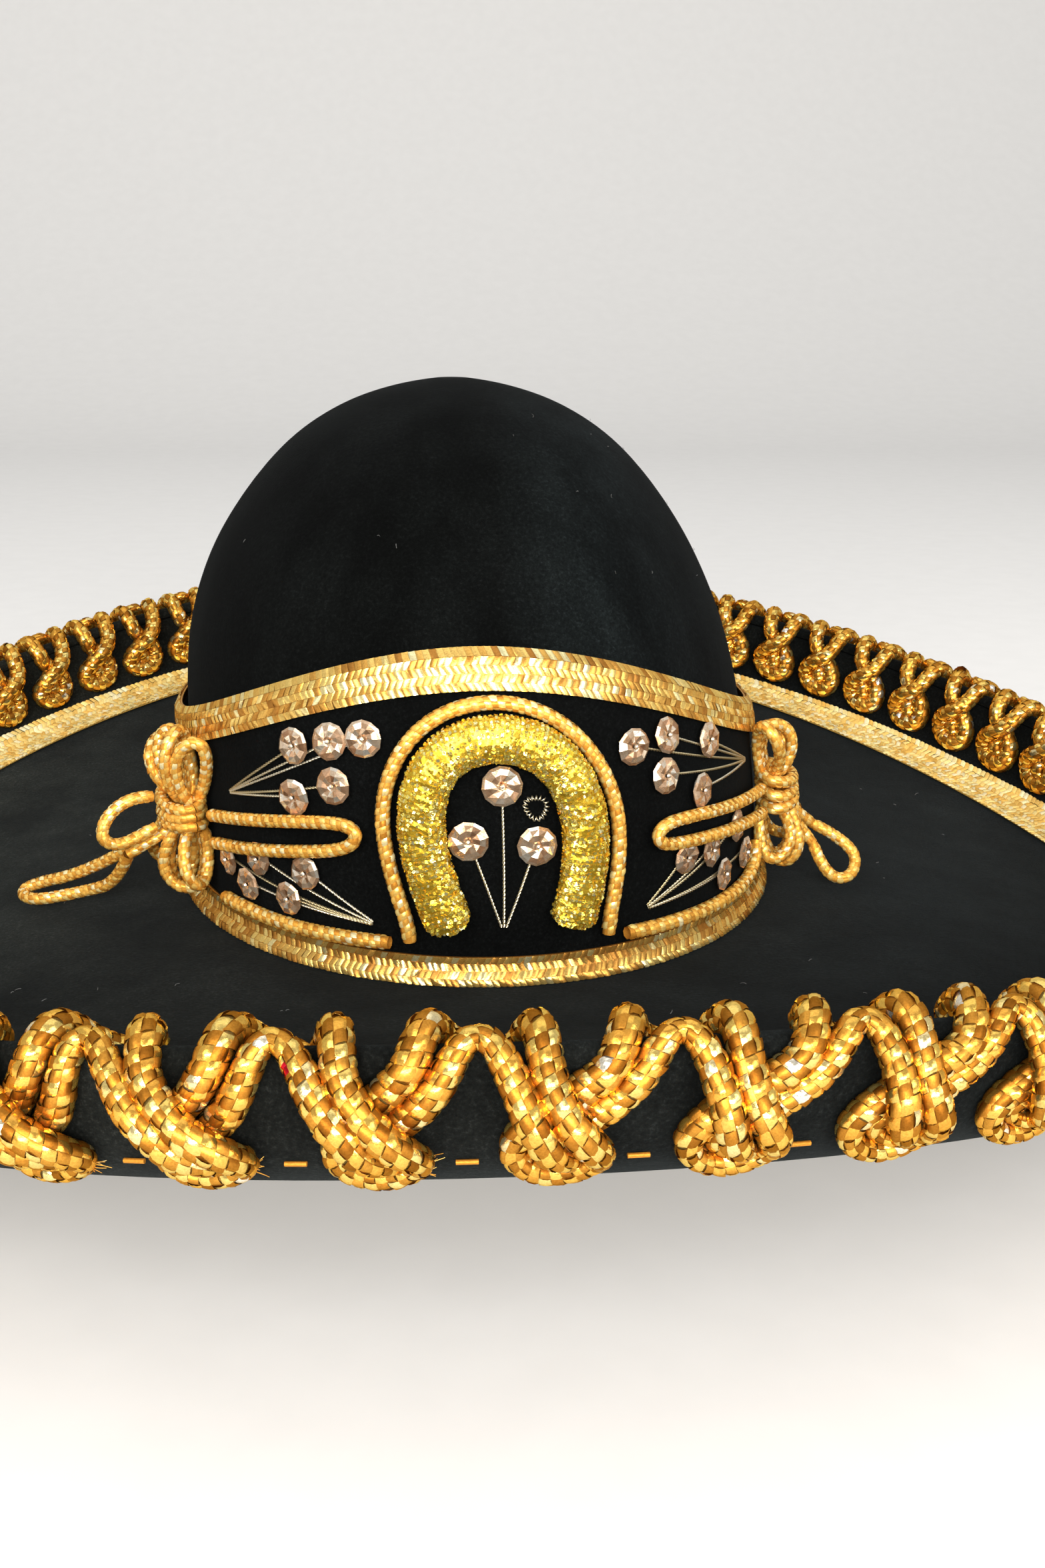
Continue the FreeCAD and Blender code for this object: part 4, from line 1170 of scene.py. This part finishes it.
def lint():
    # Fibres caught in the velvet of the brim and crown
    pile = Pile()
    rng = np.random.default_rng(53)

    def fibre(root, out, long, thick, tone):
        lay = rng.normal(size=3)
        lay -= out * lay.dot(out)
        lay /= np.linalg.norm(lay)
        curl = np.cross(out, lay) * rng.normal(0.0, 0.35)
        points = [root, root + (lay * 0.4 + curl) * long + out * 0.5 * thick + out * 0.35,
                  root + lay * long + out * 0.25]
        even, rad, at = smooth_run(points, [thick, thick * 0.9, thick * 0.5], 0.6)
        rod(pile, even, rad, tone, 4)

    up = np.array((0.0, 0.0, 1.0))
    for k in range(60):
        psi = rng.uniform(0.0, TURN)
        r = rng.uniform(122.0, 216.0)
        root = np.array((r * math.sin(psi), -r * math.cos(psi), 0.0))
        share = ease((r - JOIN_R) / (BRIM_FLAT_R - JOIN_R))
        root[2] = JUNCTION_Z + SADDLE * math.cos(2.0 * psi) * share + 0.45
        fibre(root, up, rng.uniform(0.8, 2.6), 0.09, rng.uniform(0.3, 1.0))
    for k in range(26):
        psi = rng.uniform(0.0, TURN)
        h = rng.uniform(95.0, 148.0)
        out = np.array((math.sin(psi), -math.cos(psi), 0.35))
        fibre(crown_at(psi, h, 0.05), out / np.linalg.norm(out), rng.uniform(0.5, 1.5), 0.07,
              rng.uniform(0.2, 0.9))
    pile.build("velvet_lint", LINT)


lint()


# ------------------------------------------------------------------ floor, light, camera
FLOOR_REACH = 6.0          # metres to the front and to each side
FLOOR_BACK = 1.6           # metres back to where it starts to curve up
FLOOR_BEND = 1.2
FLOOR_TOP = 5.0
LIGHTS = {
    # place, target, size, power, colour
    "key": ((-0.9, -1.3, 1.25), (0, 0, 0.05), (1.1, 0.9), 9.0, (1, 1, 1)),
    "fill": ((1.2, -1.2, 0.9), (0, 0, 0.05), (0.9, 0.9), 8.0, (0.97, 0.98, 1.0)),
    "top": ((0.0, 0.3, 2.0), (0, 0, 0.0), (2.4, 1.8), 8.0, (1, 1, 1)),
    "front": ((-0.1, -2.2, 0.80), (0, 0, 0.02), (2.2, 0.6), 82.0, (1.0, 0.95, 0.88)),
}
WORLD_STRENGTH = 0.50


def floor():
    # A sheet of pale paper that curves up behind the hat
    bm = bmesh.new()
    profile = [(-FLOOR_REACH, 0.0), (FLOOR_BACK, 0.0)]
    for k in range(1, 13):
        a = math.radians(90 * k / 12)
        profile.append((FLOOR_BACK + FLOOR_BEND * math.sin(a), FLOOR_BEND * (1 - math.cos(a))))
    profile.append((FLOOR_BACK + FLOOR_BEND, FLOOR_TOP))
    rows = [[bm.verts.new((x, y, z)) for x in (-FLOOR_REACH, FLOOR_REACH)] for y, z in profile]
    for a, b in zip(rows, rows[1:]):
        bm.faces.new((a[0], a[1], b[1], b[0]))
    mesh = bpy.data.meshes.new("floor")
    bm.to_mesh(mesh)
    bm.free()
    mesh.polygons.foreach_set("use_smooth", [True] * len(mesh.polygons))
    obj = bpy.data.objects.new("floor", mesh)
    bpy.context.scene.collection.objects.link(obj)
    mat, nodes, links, shader = material("floor_paper")
    coords = object_coords(nodes, links, 1.0)
    grain = noise(nodes, links, coords, 60.0, 3.0)
    tint = ramp(nodes, [(0.3, (0.80, 0.795, 0.785)), (0.7, (0.82, 0.815, 0.805))])
    links.new(grain.outputs["Fac"], tint.inputs["Fac"])
    links.new(tint.outputs["Color"], shader.inputs["Base Color"])
    put(shader, Roughness=0.8)
    mesh.materials.append(mat)


def area_light(name, place, target, size, power, colour):
    data = bpy.data.lights.new(name, "AREA")
    data.shape = "RECTANGLE"
    data.size, data.size_y = size
    data.energy = power
    data.color = colour
    obj = bpy.data.objects.new(name, data)
    bpy.context.scene.collection.objects.link(obj)
    obj.location = place
    aim = Vector(target) - Vector(place)
    obj.rotation_euler = aim.to_track_quat("-Z", "Y").to_euler()


CAM_SENSOR = 36.0          # mm
CAM_LENS = 38.2668         # mm
CAM_PITCH = 0.2941         # radians down
CAM_ROLL = -0.0088
CAM_RIGHT = 15.42          # mm from the hat's axis, before the hat's turn
CAM_BACK = 522.05
CAM_HIGH = 182.84          # mm above the crown's junction with the brim
HAT_TURN = math.radians(6.0)


def studio():
    # Even pale light from all round
    world = bpy.data.worlds.new("studio")
    world.use_nodes = True
    put(world.node_tree.nodes["Background"], Color=(0.95, 0.95, 0.95, 1.0),
        Strength=WORLD_STRENGTH)
    bpy.context.scene.world = world


def camera():
    data = bpy.data.cameras.new("camera")
    data.sensor_fit = "AUTO"
    data.sensor_width = CAM_SENSOR
    data.lens = CAM_LENS
    data.clip_start = 0.01
    data.clip_end = 50.0
    obj = bpy.data.objects.new("camera", data)
    bpy.context.scene.collection.objects.link(obj)
    forward = Vector((0.0, math.cos(CAM_PITCH), -math.sin(CAM_PITCH)))
    up = Vector((0.0, math.sin(CAM_PITCH), math.cos(CAM_PITCH)))
    right = Vector((1.0, 0.0, 0.0))
    r = right * math.cos(CAM_ROLL) - up * math.sin(CAM_ROLL)
    u = right * math.sin(CAM_ROLL) + up * math.cos(CAM_ROLL)
    look = Matrix(((r.x, u.x, -forward.x), (r.y, u.y, -forward.y), (r.z, u.z, -forward.z)))
    place = Vector((CAM_RIGHT, -CAM_BACK, CAM_HIGH + JUNCTION_Z)) * MM
    turn = Matrix.Rotation(-HAT_TURN, 3, "Z")
    obj.matrix_world = Matrix.Translation(turn @ place) @ (turn @ look).to_4x4()
    bpy.context.scene.camera = obj


floor()
for name, settings in LIGHTS.items():
    area_light(name, *settings)
studio()
bpy.context.scene.view_settings.view_transform = "Standard"
camera()
